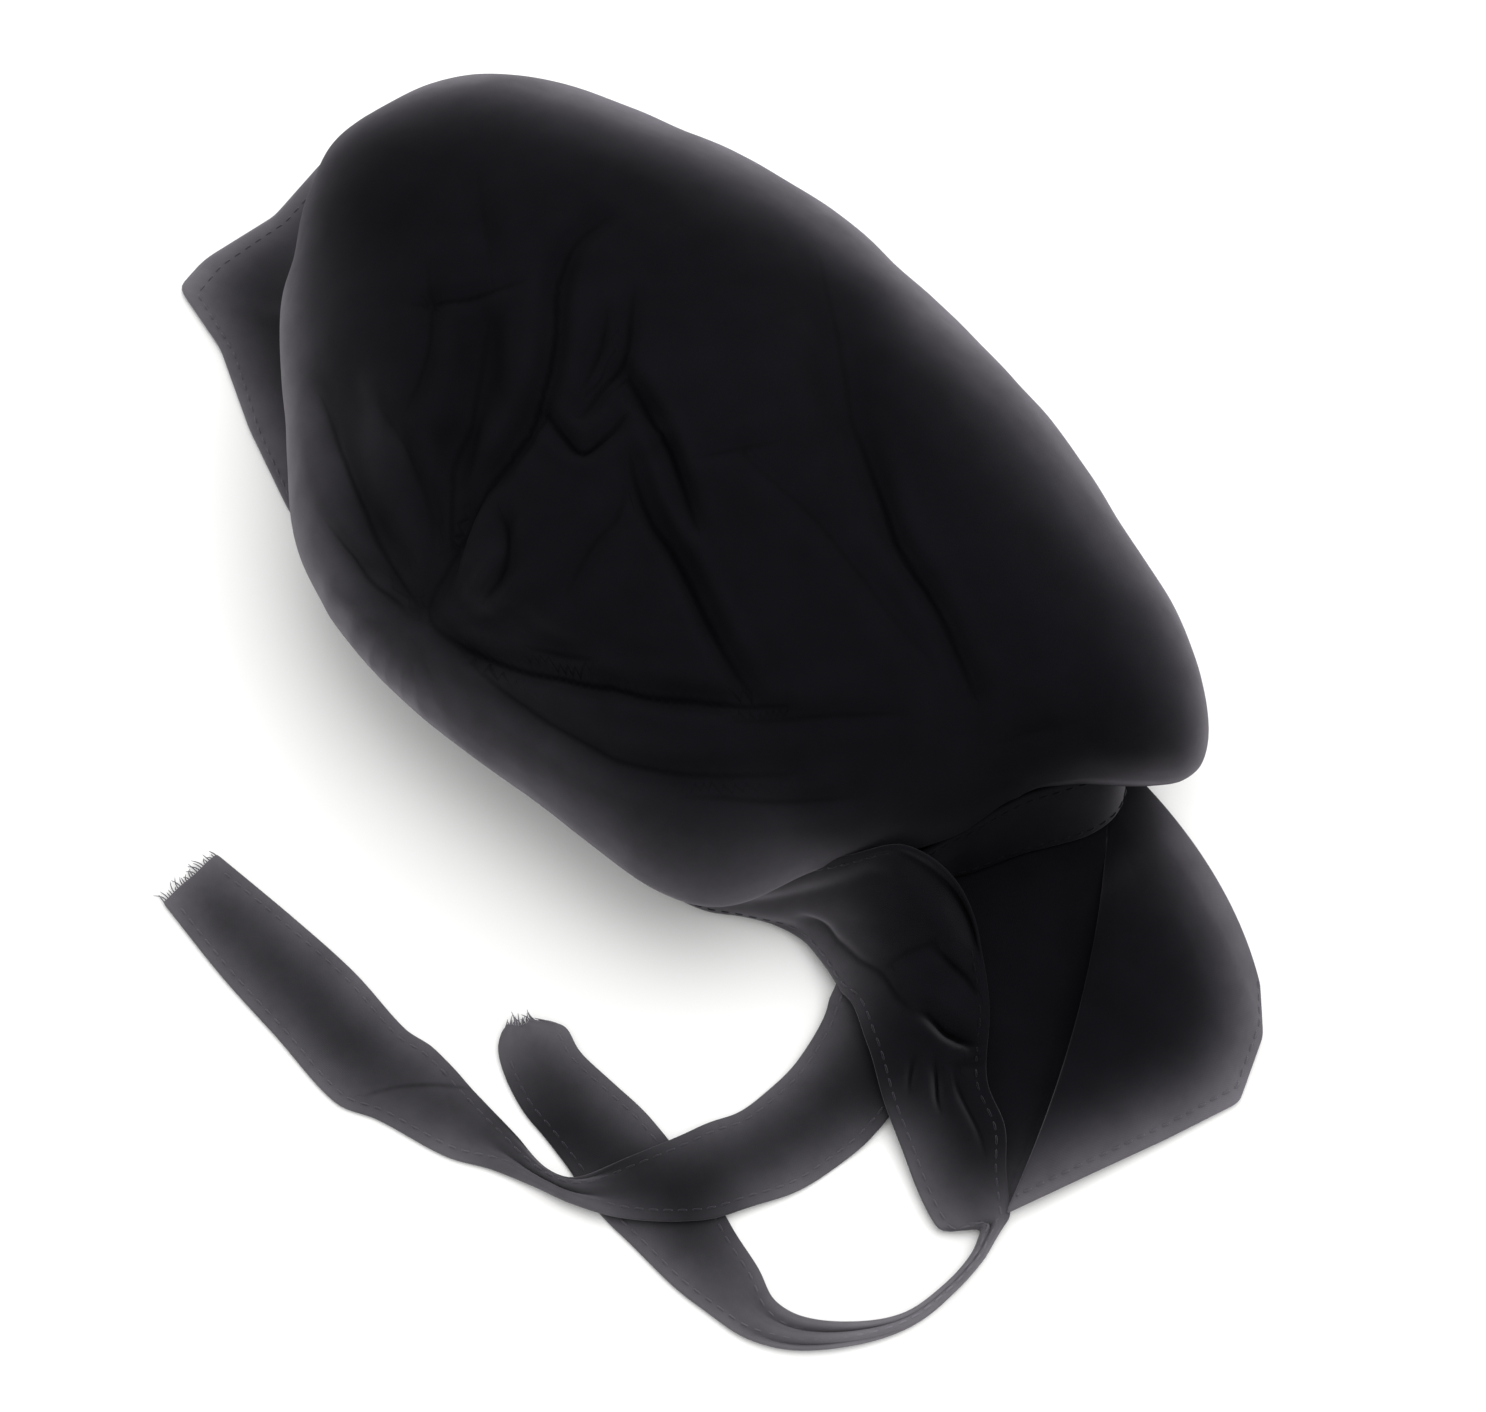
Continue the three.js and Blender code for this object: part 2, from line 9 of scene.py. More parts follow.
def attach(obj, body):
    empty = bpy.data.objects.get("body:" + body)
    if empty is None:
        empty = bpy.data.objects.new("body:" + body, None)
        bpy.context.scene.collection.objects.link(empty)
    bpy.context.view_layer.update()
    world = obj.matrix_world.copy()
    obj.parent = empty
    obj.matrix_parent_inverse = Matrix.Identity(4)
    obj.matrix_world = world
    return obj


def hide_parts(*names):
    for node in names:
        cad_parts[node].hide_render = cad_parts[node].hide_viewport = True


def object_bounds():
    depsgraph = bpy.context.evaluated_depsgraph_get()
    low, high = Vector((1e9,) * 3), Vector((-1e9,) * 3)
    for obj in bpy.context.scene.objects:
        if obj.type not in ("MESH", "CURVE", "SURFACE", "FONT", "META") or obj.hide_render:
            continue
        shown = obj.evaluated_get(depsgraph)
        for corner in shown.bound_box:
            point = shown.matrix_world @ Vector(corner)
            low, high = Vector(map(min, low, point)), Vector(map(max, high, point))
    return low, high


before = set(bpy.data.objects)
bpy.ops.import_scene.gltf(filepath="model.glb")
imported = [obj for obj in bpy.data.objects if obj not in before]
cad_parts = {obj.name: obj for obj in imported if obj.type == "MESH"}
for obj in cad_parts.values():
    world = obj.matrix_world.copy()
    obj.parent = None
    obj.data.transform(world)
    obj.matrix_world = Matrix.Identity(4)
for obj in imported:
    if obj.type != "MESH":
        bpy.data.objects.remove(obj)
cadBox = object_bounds()
mm = 0.001

# Camera, at the photograph's angle to the durag as it lies
cameraSet = {
    "azimuth": 138,  # degrees round from the forehead side
    "elevation": 65,
    "distance": 845 * mm,
    "lens": 85,
    "aim": Vector((-13.1, 30.0, -10.2)) * mm,  # from the middle of the whole durag
}
azimuth, elevation = (math.radians(cameraSet[key]) for key in ("azimuth", "elevation"))
towardsCamera = Vector((
    math.sin(azimuth) * math.cos(elevation),
    -math.cos(azimuth) * math.cos(elevation),
    math.sin(elevation),
))
bpy.ops.object.camera_add()
camera = bpy.context.object
camera.data.lens = cameraSet["lens"]
middle = (cadBox[0] + cadBox[1]) / 2 + cameraSet["aim"]
camera.location = middle + towardsCamera * cameraSet["distance"]
camera.rotation_euler = (-towardsCamera).to_track_quat("-Z", "Y").to_euler()
bpy.context.scene.camera = camera
print("camera placed")

# Studio: a pale floor, a white room and two soft lights
studioSet = {
    "floorSize": 6.0,
    "floorDrop": 0.3 * mm,
    "floorColour": (0.93, 0.93, 0.92, 1),
    "floorRoughness": 0.9,
    "floorSpecular": 0.1,
    "roomColour": (1, 1, 1, 1),
    "roomLight": 0.8,
    # power, size and place of each soft light
    "lights": [
        (16.0, 1.4, (-0.3, 0.2, 1.5)),
        (5.0, 1.0, (-1.1, -0.9, 0.9)),
    ],
}


def makeStudio(sizes):
    bpy.ops.mesh.primitive_plane_add(size=sizes["floorSize"], location=(0, 0, -sizes["floorDrop"]))
    floor = bpy.context.object
    floor.name = "floor"
    paint = bpy.data.materials.new("floorPaint")
    paint.use_nodes = True
    shader = paint.node_tree.nodes["Principled BSDF"]
    shader.inputs["Base Color"].default_value = sizes["floorColour"]
    shader.inputs["Roughness"].default_value = sizes["floorRoughness"]
    shader.inputs["Specular IOR Level"].default_value = sizes["floorSpecular"]
    floor.data.materials.append(paint)
    room = bpy.data.worlds.new("room")
    bpy.context.scene.world = room
    room.use_nodes = True
    background = room.node_tree.nodes["Background"]
    background.inputs["Color"].default_value = sizes["roomColour"]
    background.inputs["Strength"].default_value = sizes["roomLight"]
    for power, size, place in sizes["lights"]:
        bpy.ops.object.light_add(type="AREA", location=place)
        light = bpy.context.object
        light.data.energy = power
        light.data.size = size
        light.rotation_euler = Vector(place).to_track_quat("Z", "Y").to_euler()
    bpy.context.scene.view_settings.view_transform = "Standard"


makeStudio(studioSet)
print("studio ready")


# Shader maths: a wire is a node's output that can be added, multiplied and so on
class Wire:
    def __init__(self, tree, socket):
        self.tree = tree
        self.socket = socket

    def maths(self, operation, *others):
        node = self.tree.add("ShaderNodeMath", {"operation": operation})
        for place, value in enumerate((self, *others)):
            self.tree.plug(node.inputs[place], value)
        return Wire(self.tree, node.outputs[0])

    def __add__(self, other):
        return self.maths("ADD", other)

    def __mul__(self, other):
        return self.maths("MULTIPLY", other)

    def __sub__(self, other):
        return self.maths("SUBTRACT", other)

    def __rsub__(self, other):
        return (self * -1) + other

    __radd__ = __add__
    __rmul__ = __mul__


class NodeMaker:
    def __init__(self, name):
        self.material = bpy.data.materials.new(name)
        self.material.use_nodes = True
        self.nodes = self.material.node_tree.nodes
        self.shader = self.nodes["Principled BSDF"]

    def plug(self, socket, value):
        if isinstance(value, Wire):
            self.material.node_tree.links.new(value.socket, socket)
        else:
            socket.default_value = value

    def add(self, kind, settings=None, inputs=None):
        node = self.nodes.new(kind)
        for key, value in (settings or {}).items():
            setattr(node, key, value)
        for key, value in (inputs or {}).items():
            self.plug(node.inputs[key], value)
        return node

    def wire(self, kind, settings=None, inputs=None, output=0):
        return Wire(self, self.add(kind, settings, inputs).outputs[output])

    def attribute(self, name, output="Fac"):
        return self.wire("ShaderNodeAttribute", {"attribute_name": name}, None, output)

    def noise(self, place, scale, detail):
        return self.wire("ShaderNodeTexNoise", None, {"Vector": place, "Scale": scale, "Detail": detail})


clothSet = {
    "threadPitch": 0.55 * mm,  # from one thread of the weave to the next
    "weaveDepth": 0.10 * mm,
    "fuzzDepth": 0.06 * mm,
    "bump": 0.7,
    # scale and detail of the noise
    "fuzz": (2600.0, 3.0),
    "slubs": (420.0, 2.0),
    "clouds": (34.0, 4.0),
    "blotches": (110.0, 3.0),
    # how light the cloth is all over, and how much of its tone each of these makes
    "tone": 0.5,
    "cloudTone": 0.4,
    "blotchTone": 0.4,
    "weaveTone": 0.06,
    "slubTone": 0.16,
    "edgeLightTone": 0.24,
    "smoothest": 0.86,
    "slubRoughness": 0.14,
    "specular": 0.03,
    "sheen": 0.7,  # how pale the painted sheen of the nap makes the cloth where it is seen edge on
    "sheenSpread": 5.5,  # higher keeps the sheen closer to the outline
    "sheenReach": 5.0,  # higher takes the sheen further in from the free edges
    "creaseShade": 0.75,  # how much painted shade darkens the bottom of a sharp crease
    "creaseWidth": 0.75 * mm,
    "creaseDepth": 0.9 * mm,
}


# Fine plain-woven cotton. The piece's own map holds real lengths along its threads. Its attribute
# "pale" is 0 where the cloth is at its darkest and 1 where the painted edge light pales it most. Its
# attribute "crease" is 1 along the bottom of a sharp fold, where painted shade darkens it, and "side"
# is the distance from there. "form" is the way the cloth faces without its folds, and "open" is how
# free it lies, which masks the painted sheen.
def weaveCloth(name, dark, pale):
    maker = NodeMaker(name)
    threads = maker.wire("ShaderNodeUVMap", {"uv_map": "threads"})
    split = maker.add("ShaderNodeSeparateXYZ", None, {0: threads})
    turn = 2 * math.pi / clothSet["threadPitch"]
    warp, weft = ((Wire(maker, split.outputs[k]) * turn).maths("SINE") for k in (0, 1))
    ribs = warp.maths("ABSOLUTE") + weft.maths("ABSOLUTE")
    place = maker.wire("ShaderNodeTexCoord", None, None, "Object")
    fuzz = maker.noise(place, *clothSet["fuzz"])
    slubs = maker.noise(threads, *clothSet["slubs"])
    clouds = maker.noise(place, *clothSet["clouds"])
    blotches = maker.noise(place, *clothSet["blotches"])

    # Sharp creases, sunk in the relief and darkened by painted shade
    aside = maker.attribute("side") * (1 / clothSet["creaseWidth"])
    crease = (aside * aside * -1).maths("EXPONENT") * maker.attribute("crease")

    # Painted edge light near the free edges, and a painted sheen of the nap
    paintedEdgeLight = maker.attribute("pale") * (1 - clothSet["edgeLightTone"] / 2 + clouds * clothSet["edgeLightTone"])
    paintedEdgeLight = paintedEdgeLight.maths("MAXIMUM", 0.0).maths("MINIMUM", 1.0)
    form = maker.attribute("form", "Vector")
    squareOn = 1 - maker.wire("ShaderNodeLayerWeight", None, {"Blend": 0.5, "Normal": form}, "Facing")
    openness = (maker.attribute("open") * clothSet["sheenReach"]).maths("MINIMUM", 1.0)
    # Painted sheen: paler where the cloth's form is seen edge on, less where other cloth covers it in plan
    sheen = (squareOn * squareOn * -clothSet["sheenSpread"]).maths("EXPONENT") * clothSet["sheen"] * openness
    paled = 1 - (1 - paintedEdgeLight) * (1 - sheen)

    # Colour
    tone = clothSet["tone"] + clouds * clothSet["cloudTone"] + blotches * clothSet["blotchTone"]
    tone = tone + warp * weft * clothSet["weaveTone"] + slubs * clothSet["slubTone"]
    # Painted shade along the bottom of sharp creases
    tone = tone * (1 - crease * clothSet["creaseShade"])
    colours = maker.add("ShaderNodeMix", {"data_type": "RGBA"}, {0: paled, 6: (*dark, 1), 7: (*pale, 1)})
    mixed = Wire(maker, colours.outputs[2])
    grained = maker.wire("ShaderNodeVectorMath", {"operation": "SCALE"}, {0: mixed, "Scale": tone})
    maker.plug(maker.shader.inputs["Base Color"], grained)
    maker.plug(maker.shader.inputs["Roughness"], clothSet["smoothest"] + slubs * clothSet["slubRoughness"])
    maker.shader.inputs["Specular IOR Level"].default_value = clothSet["specular"]

    # Relief
    height = ribs * (clothSet["weaveDepth"] / 2) + fuzz * clothSet["fuzzDepth"]
    height = height - crease * clothSet["creaseDepth"]
    relief = {"Strength": clothSet["bump"], "Distance": 1.0, "Height": height}
    maker.plug(maker.shader.inputs["Normal"], maker.wire("ShaderNodeBump", None, relief))
    return maker.material


# Each cloth's second colour is the pale tone that its painted edge light and painted sheen mix in
crownCloth = weaveCloth("crownCloth", (0.0044, 0.0043, 0.0058), (0.26, 0.245, 0.275))
bandCloth = weaveCloth("bandCloth", (0.0050, 0.0048, 0.0064), (0.26, 0.245, 0.275))
tieCloth = weaveCloth("tieCloth", (0.0052, 0.0050, 0.0066), (0.2, 0.19, 0.21))
threadCloth = weaveCloth("threadCloth", (0.0052, 0.0050, 0.0066), (0.22, 0.21, 0.235))
print("cloth ready")


# Values on a smooth curve through rows of a table, at any places between them
def smoothRows(knots, values, at):
    knots, values = np.asarray(knots, float), np.asarray(values, float)
    at = np.clip(at, knots[0], knots[-1])

    def wide(side):
        return side[:, None] if values.ndim > 1 else side

    inner = (values[2:] - values[:-2]) / wide(knots[2:] - knots[:-2])
    ends = [(values[k + 1] - values[k]) / (knots[k + 1] - knots[k]) for k in (0, len(knots) - 2)]
    slopes = np.concatenate([ends[:1], inner, ends[1:]])
    row = np.clip(np.searchsorted(knots, at, side="right") - 1, 0, len(knots) - 2)
    span = wide(knots[row + 1] - knots[row])
    t = wide(at - knots[row]) / span
    return (
        values[row] * (2 * t**3 - 3 * t**2 + 1)
        + slopes[row] * span * (t**3 - 2 * t**2 + t)
        + values[row + 1] * (3 * t**2 - 2 * t**3)
        + slopes[row + 1] * span * (t**3 - t**2)
    )


def smoothStep(value, low, high):
    t = np.clip((np.asarray(value) - low) / (high - low), 0, 1)
    return t * t * (3 - 2 * t)


def unit(vectors):
    return vectors / (np.linalg.norm(vectors, axis=-1, keepdims=True) + 1e-12)


def readPoints(piece):
    points = np.empty(len(piece.data.vertices) * 3)
    piece.data.vertices.foreach_get("co", points)
    return points.reshape(-1, 3)


def writePoints(piece, points):
    piece.data.vertices.foreach_set("co", np.asarray(points, np.float32).ravel())
    piece.data.update()


def readNormals(piece):
    normals = np.empty(len(piece.data.vertices) * 3)
    piece.data.vertex_normals.foreach_get("vector", normals)
    return normals.reshape(-1, 3)


def setAttribute(piece, name, values, kind="FLOAT"):
    attribute = piece.data.attributes.get(name) or piece.data.attributes.new(name, kind, "POINT")
    field = "value" if kind == "FLOAT" else "vector"
    attribute.data.foreach_set(field, np.asarray(values, np.float32).ravel())


# A flat grid primitive, whose points get their places from the shape function. The shape takes
# shares from 0 to 1 across and along. The map gets the real width and length of the cloth.
def layGrid(name, cells, cut, shape):
    bpy.ops.object.select_all(action="DESELECT")
    across, along = cells
    bpy.ops.mesh.primitive_grid_add(x_subdivisions=across, y_subdivisions=along, size=1, calc_uvs=True)
    piece = bpy.context.object
    piece.name = name
    flat = readPoints(piece)
    shares = (flat[:, 0] + 0.5, flat[:, 1] + 0.5)
    writePoints(piece, shape(*shares))
    threads = piece.data.uv_layers[0]
    threads.name = "threads"
    places = np.empty(len(threads.data) * 2)
    threads.data.foreach_get("uv", places)
    threads.data.foreach_set("uv", (places.reshape(-1, 2) * cut).ravel())
    return piece, shares


def addModifier(piece, kind, **settings):
    bpy.ops.object.select_all(action="DESELECT")
    piece.select_set(True)
    bpy.context.view_layer.objects.active = piece
    modifier = piece.modifiers.new(kind.title(), kind)
    for key, value in settings.items():
        setattr(modifier, key, value)
    bpy.ops.object.modifier_apply(modifier=modifier.name)


# Every piece of cloth and thread, for the paling at the end
cloths = []


# What each piece gets last: faces that point outwards, its material and its body
def finishPiece(piece, material):
    bpy.ops.object.mode_set(mode="EDIT")
    bpy.ops.mesh.select_all(action="SELECT")
    bpy.ops.mesh.normals_make_consistent(inside=False)
    bpy.ops.object.mode_set(mode="OBJECT")
    bpy.ops.object.shade_smooth()
    piece.data.materials.clear()
    piece.data.materials.append(material)
    if "form" not in piece.data.attributes:
        setAttribute(piece, "form", readNormals(piece), "FLOAT_VECTOR")
    cloths.append(piece)
    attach(piece, "root")


# A laid grid is given its wall and stands for its node from then on
def finishCloth(piece, thickness, levels, material, node, offset=0):
    addModifier(piece, "SOLIDIFY", thickness=thickness, offset=offset)
    if levels:
        addModifier(piece, "SUBSURF", levels=levels, render_levels=levels)
    finishPiece(piece, material)
    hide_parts(node)


# Small closed rods, each along its own row of points, as one piece
def makeRods(name, rows, radii, sides, material):
    rows = np.array(rows)
    count, rings = rows.shape[:2]
    ahead = unit(np.gradient(rows, axis=1))
    level = unit(np.cross(ahead, (0.0, 0.0, 1.0)) + 1e-6)
    steep = np.cross(level, ahead)
    angles = np.arange(sides) / sides * math.tau
    around = level[:, :, None] * np.cos(angles)[:, None] + steep[:, :, None] * np.sin(angles)[:, None]
    points = rows[:, :, None] + around * np.array(radii)[None, :, None, None]
    faces = []
    for first in range(0, count * rings * sides, rings * sides):
        for low in range(first, first + (rings - 1) * sides, sides):
            for k in range(sides):
                beside = (k + 1) % sides
                faces.append((low + k, low + beside, low + sides + beside, low + sides + k))
        faces.append(tuple(range(first + sides - 1, first - 1, -1)))
        faces.append(tuple(range(first + (rings - 1) * sides, first + rings * sides)))
    mesh = bpy.data.meshes.new(name)
    mesh.from_pydata(points.reshape(-1, 3).tolist(), [], faces)
    piece = bpy.data.objects.new(name, mesh)
    bpy.context.collection.objects.link(piece)
    bpy.ops.object.select_all(action="DESELECT")
    piece.select_set(True)
    bpy.context.view_layer.objects.active = piece
    finishPiece(piece, material)
    return piece


stitchSet = {
    "pitch": 3.4 * mm,
    "length": 2.3 * mm,
    "radius": 0.24 * mm,
    "inset": 2.6 * mm,  # from the hem to the row of stitches
    "proud": 0.1 * mm,  # middle of the thread, above the cloth
    "sides": 6,
    # place as a share of the stitch's length, sunk by, and share of the radius there
    "profile": [
        (-0.5, 0.26 * mm, 0.5),
        (-0.3, 0, 1),
        (0, -0.06 * mm, 1),
        (0.3, 0, 1),
        (0.5, 0.26 * mm, 0.5),
    ],
}


# Stitches along lines on the cloth. Each line is points and the outward directions at them.
def makeStitches(name, lines, sizes):
    rows = []
    for points, outward in lines:
        runs = np.concatenate([[0], np.cumsum(np.linalg.norm(np.diff(points, axis=0), axis=1))])
        count = int(runs[-1] / sizes["pitch"])
        middles = (np.arange(count) + 0.5) * sizes["pitch"]
        spots = []
        for share, sink, _ in sizes["profile"]:
            at = middles + share * sizes["length"]
            spot = np.stack([np.interp(at, runs, points[:, k]) for k in range(3)], axis=1)
            up = unit(np.stack([np.interp(at, runs, outward[:, k]) for k in range(3)], axis=1))
            spots.append(spot + up * (sizes["proud"] - sink))
        rows.append(np.stack(spots, axis=1))
    radii = [share * sizes["radius"] for *_, share in sizes["profile"]]
    return makeRods(name, np.concatenate(rows), radii, sizes["sides"], threadCloth)


# The line of a hem's stitches on the upper face of the cloth, at these shares across the shape
def hemLine(shape, places, sizes):
    line = shape(places, 0 * places + sizes["stitchLine"])
    beside = shape(places, 0 * places + sizes["stitchLine"] - 0.02)
    up = unit(np.cross(np.gradient(line, axis=0), beside - line))
    up *= np.sign(up[:, 2:])
    return line + up * sizes["thickness"] / 2, up


# Crown
crownSet = {
    "width": 172 * mm,
    "length": 272 * mm,
    "thickness": 1.2 * mm,
    "cells": 214,
    "topRows": 0.84,  # share of the cells that go to the top, above the widest level
    "widestRing": 14,  # ring of the solid at the widest level, counted from the peak
    "harmonics": 12,  # detail of the outline that is kept from the solid
    "meridian": 225 * mm,  # cloth from the peak down to the rim
    "leanTop": 26 * mm,  # level up to which the back's wall leans
    "drawFrom": (25 * mm, 30 * mm),  # levels between which the back starts to draw in
    "drawTo": (38 * mm, 72 * mm),  # levels between which it comes back out
}


# The outer skin of the solid crown, as rings of points from the peak down to the rim, each ring
# with its points at even turns. A turn of 0 is the front, and 90 degrees is the left side.
def crownRings(sizes):
    skin = bmesh.new()
    skin.from_mesh(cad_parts["crown"].data)
    bmesh.ops.remove_doubles(skin, verts=skin.verts, dist=0.01 * mm)
    poles = sorted(skin.verts, key=lambda v: len(v.link_edges))[-2:]
    peak = max(poles, key=lambda v: v.co.z)
    columns = len(peak.link_edges)

    def columnOf(v):
        aside, behind = v.co.x - peak.co.x, v.co.y - peak.co.y
        turn = math.atan2(aside / sizes["width"], -behind / sizes["length"])
        return round(turn / math.tau * columns) % columns

    seen = {peak}
    ring = [peak]
    rings = [[tuple(peak.co)] * columns]
    while min(v.co.z for v in ring) > 0.1 * mm:
        ring = list({edge.other_vert(v) for v in ring for edge in v.link_edges} - seen)
        seen.update(ring)
        byColumn = {columnOf(v): tuple(v.co) for v in ring}
        rings.append([byColumn[k] for k in range(columns)])
    skin.free()
    return np.array(rings)


rings = crownRings(crownSet)
crownCentre = rings[0, 0].copy()
columns = rings.shape[1]
spectrum = np.fft.rfft(rings, axis=1)
kept = np.arange(spectrum.shape[1])
spectrum *= (1 - smoothStep(kept, crownSet["harmonics"], 2 * crownSet["harmonics"]))[None, :, None]
steps = np.linalg.norm(np.diff(rings, axis=0), axis=2).mean(axis=1)
ringShares = np.concatenate([[0], np.cumsum(steps)]) / steps.sum()


# A point of the smoothed crown, at a share of the way down from the peak and a turn in radians
def crownPoint(share, turn):
    phases = np.exp(1j * np.outer(turn, kept))
    weights = np.where(kept == 0, 1, 2) / columns
    table = np.einsum("vk,rkc->vrc", phases * weights, spectrum).real
    slopes = np.gradient(table, ringShares, axis=1)
    row = np.clip(np.searchsorted(ringShares, share, side="right") - 1, 0, len(ringShares) - 2)
    pick = np.arange(len(share))
    span = (ringShares[row + 1] - ringShares[row])[:, None]
    t = ((share - ringShares[row]) / span[:, 0])[:, None]
    return (
        table[pick, row] * (2 * t**3 - 3 * t**2 + 1)
        + slopes[pick, row] * span * (t**3 - 2 * t**2 + t)
        + table[pick, row + 1] * (3 * t**2 - 2 * t**3)
        + slopes[pick, row + 1] * span * (t**3 - t**2)
    )


# Points on the rim at turns in degrees, moved straight out from it
def rimPath(turns, out):
    turns = np.asarray(turns, float)

    def at(angle):
        return crownPoint(np.ones(len(turns)), np.radians(angle))

    along = unit((at(turns + 0.5) - at(turns - 0.5))[:, :2])
    points = at(turns)
    points[:, 0] += along[:, 1] * out
    points[:, 1] -= along[:, 0] * out
    return points


# The back's wall and the strap on it lean in together, by these degrees at a turn in degrees
backLean = 15


def leanAt(degrees):
    return backLean * smoothStep(degrees, 165, 198) * (1 - smoothStep(degrees, 200, 210))


# Turn, and how far the crown draws in above the strap there, in millimetres
backDraw = [
    (168, 0),
    (175, 0.6),
    (180, 0.9),
    (190, 1.0),
    (196, 4.4),
    (200, 5.6),
    (204, 2.5),
    (207, 0),
]

# Folds of the crown. Each runs over the cloth along points given as shares of the half width and
# half length from the crown's centre. Width and depth are in millimetres, and sharp is how dark
# and tight the bottom of the fold is.
crownFolds = {
    "long sweep": {
        "path": [
            (-0.36, -0.42), (-0.12, -0.4), (0.08, -0.26), (0.32, -0.17),
            (0.49, -0.15), (0.73, -0.1), (0.82, -0.08),
        ],
        "width": 3.4, "depth": 3.6, "sharp": 0.8,
    },
    "second sweep": {
        "path": [(0.15, -0.4), (0.28, -0.32), (0.4, -0.27), (0.5, -0.23), (0.68, -0.11), (0.79, -0.08)],
        "width": 5.5, "depth": 4.2, "sharp": 0.5,
    },
    "front corner": {
        "path": [(0.58, -0.56), (0.67, -0.43), (0.73, -0.33), (0.78, -0.22), (0.82, -0.08)],
        "width": 4.4, "depth": 3.8, "sharp": 0.7,
    },
    "front pinch": {
        "path": [(0.82, -0.33), (0.86, -0.22), (0.84, -0.09)],
        "width": 4.2, "depth": 3.4, "sharp": 0.6,
    },
    "front inner": {
        "path": [(0.51, -0.44), (0.58, -0.28), (0.63, -0.2), (0.7, -0.14)],
        "width": 4, "depth": 2.2, "sharp": 0.3,
    },
    "hook": {
        "path": [(0.22, -0.19), (0.24, -0.13), (0.24, -0.07), (0.15, -0.07), (0.07, -0.08)],
        "width": 2.6, "depth": 2.4, "sharp": 1,
    },
    "upper": {
        "path": [(-0.21, -0.26), (-0.05, -0.17), (0.07, -0.15), (0.17, -0.13)],
        "width": 2.8, "depth": 2, "sharp": 0.7,
    },
    "upper second": {
        "path": [(-0.1, -0.25), (-0.01, -0.21), (0.1, -0.17)],
        "width": 2.6, "depth": 1.6, "sharp": 0.5,
    },
    "middle short": {
        "path": [(-0.02, -0.17), (0.02, -0.05), (0.07, 0.04), (0.12, 0.11), (0.16, 0.17)],
        "width": 2.8, "depth": 2.6, "sharp": 1,
    },
    "middle long": {
        "path": [(0.14, -0.02), (0.21, 0.07), (0.24, 0.17), (0.28, 0.26), (0.32, 0.35), (0.35, 0.45)],
        "width": 3, "depth": 3.2, "sharp": 1,
    },
    "middle branch": {
        "path": [(0.2, 0.02), (0.29, 0.06), (0.4, 0.07), (0.54, 0.1)],
        "width": 3.6, "depth": 1.8, "sharp": 0.4,
    },
    "side pinch": {
        "path": [(0.81, -0.08), (0.81, -0.01), (0.74, 0.12), (0.57, 0.3), (0.46, 0.39), (0.27, 0.51)],
        "width": 3.2, "depth": 3.4, "sharp": 1,
    },
    "side low": {
        "path": [(0.81, -0.05), (0.8, 0.16), (0.76, 0.29), (0.7, 0.39), (0.55, 0.5), (0.36, 0.58)],
        "width": 4, "depth": 2.8, "sharp": 0.6,
    },
    "long right": {
        "path": [(-0.74, -0.14), (-0.58, 0.02), (-0.4, 0.18), (-0.31, 0.3)],
        "width": 7.5, "depth": 3.4, "sharp": 0.3,
    },
    "long right low": {
        "path": [(-0.42, 0.16), (-0.31, 0.3), (-0.23, 0.4), (-0.19, 0.52), (-0.15, 0.62), (-0.12, 0.7)],
        "width": 3.2, "depth": 2.8, "sharp": 0.9,
    },
    "side short": {
        "path": [(0.5, -0.1), (0.57, -0.03), (0.64, -0.01), (0.69, -0.01)],
        "width": 2.8, "depth": 2, "sharp": 0.8,
    },
    "faint right": {
        "path": [(-0.07, 0.1), (-0.1, 0.3), (-0.08, 0.49), (-0.08, 0.61)],
        "width": 4, "depth": 1.1, "sharp": 0.3,
    },
    "top front": {
        "path": [(0.26, -0.52), (0.13, -0.45), (0, -0.41)],
        "width": 3, "depth": 1.5, "sharp": 0.6,
    },
    "top corner": {
        "path": [(0.16, -0.55), (0.3, -0.44), (0.49, -0.36)],
        "width": 3.4, "depth": 1.6, "sharp": 0.4,
    },
    "top left": {
        "path": [(-0.18, -0.67), (-0.06, -0.56), (0.05, -0.45)],
        "width": 4, "depth": 1.3, "sharp": 0.2,
    },
    "back first": {
        "path": [(0.44, 0.45), (0.29, 0.52), (0.18, 0.57), (0.06, 0.63)],
        "width": 3.2, "depth": 1.5, "sharp": 0.4,
    },
    "back second": {
        "path": [(0.66, 0.48), (0.5, 0.57), (0.28, 0.66)],
        "width": 3.2, "depth": 1.6, "sharp": 0.4,
    },
    "back right": {
        "path": [(-0.12, 0.78), (-0.26, 0.84)],
        "width": 4, "depth": 1.2, "sharp": 0.2,
    },
    "side tiny": {
        "path": [(0.68, 0.11), (0.59, 0.21)],
        "width": 2.6, "depth": 1.4, "sharp": 0.6,
    },
    "top tiny": {
        "path": [(0.02, 0.07), (-0.18, 0.14)],
        "width": 3, "depth": 1, "sharp": 0.3,
    },
}
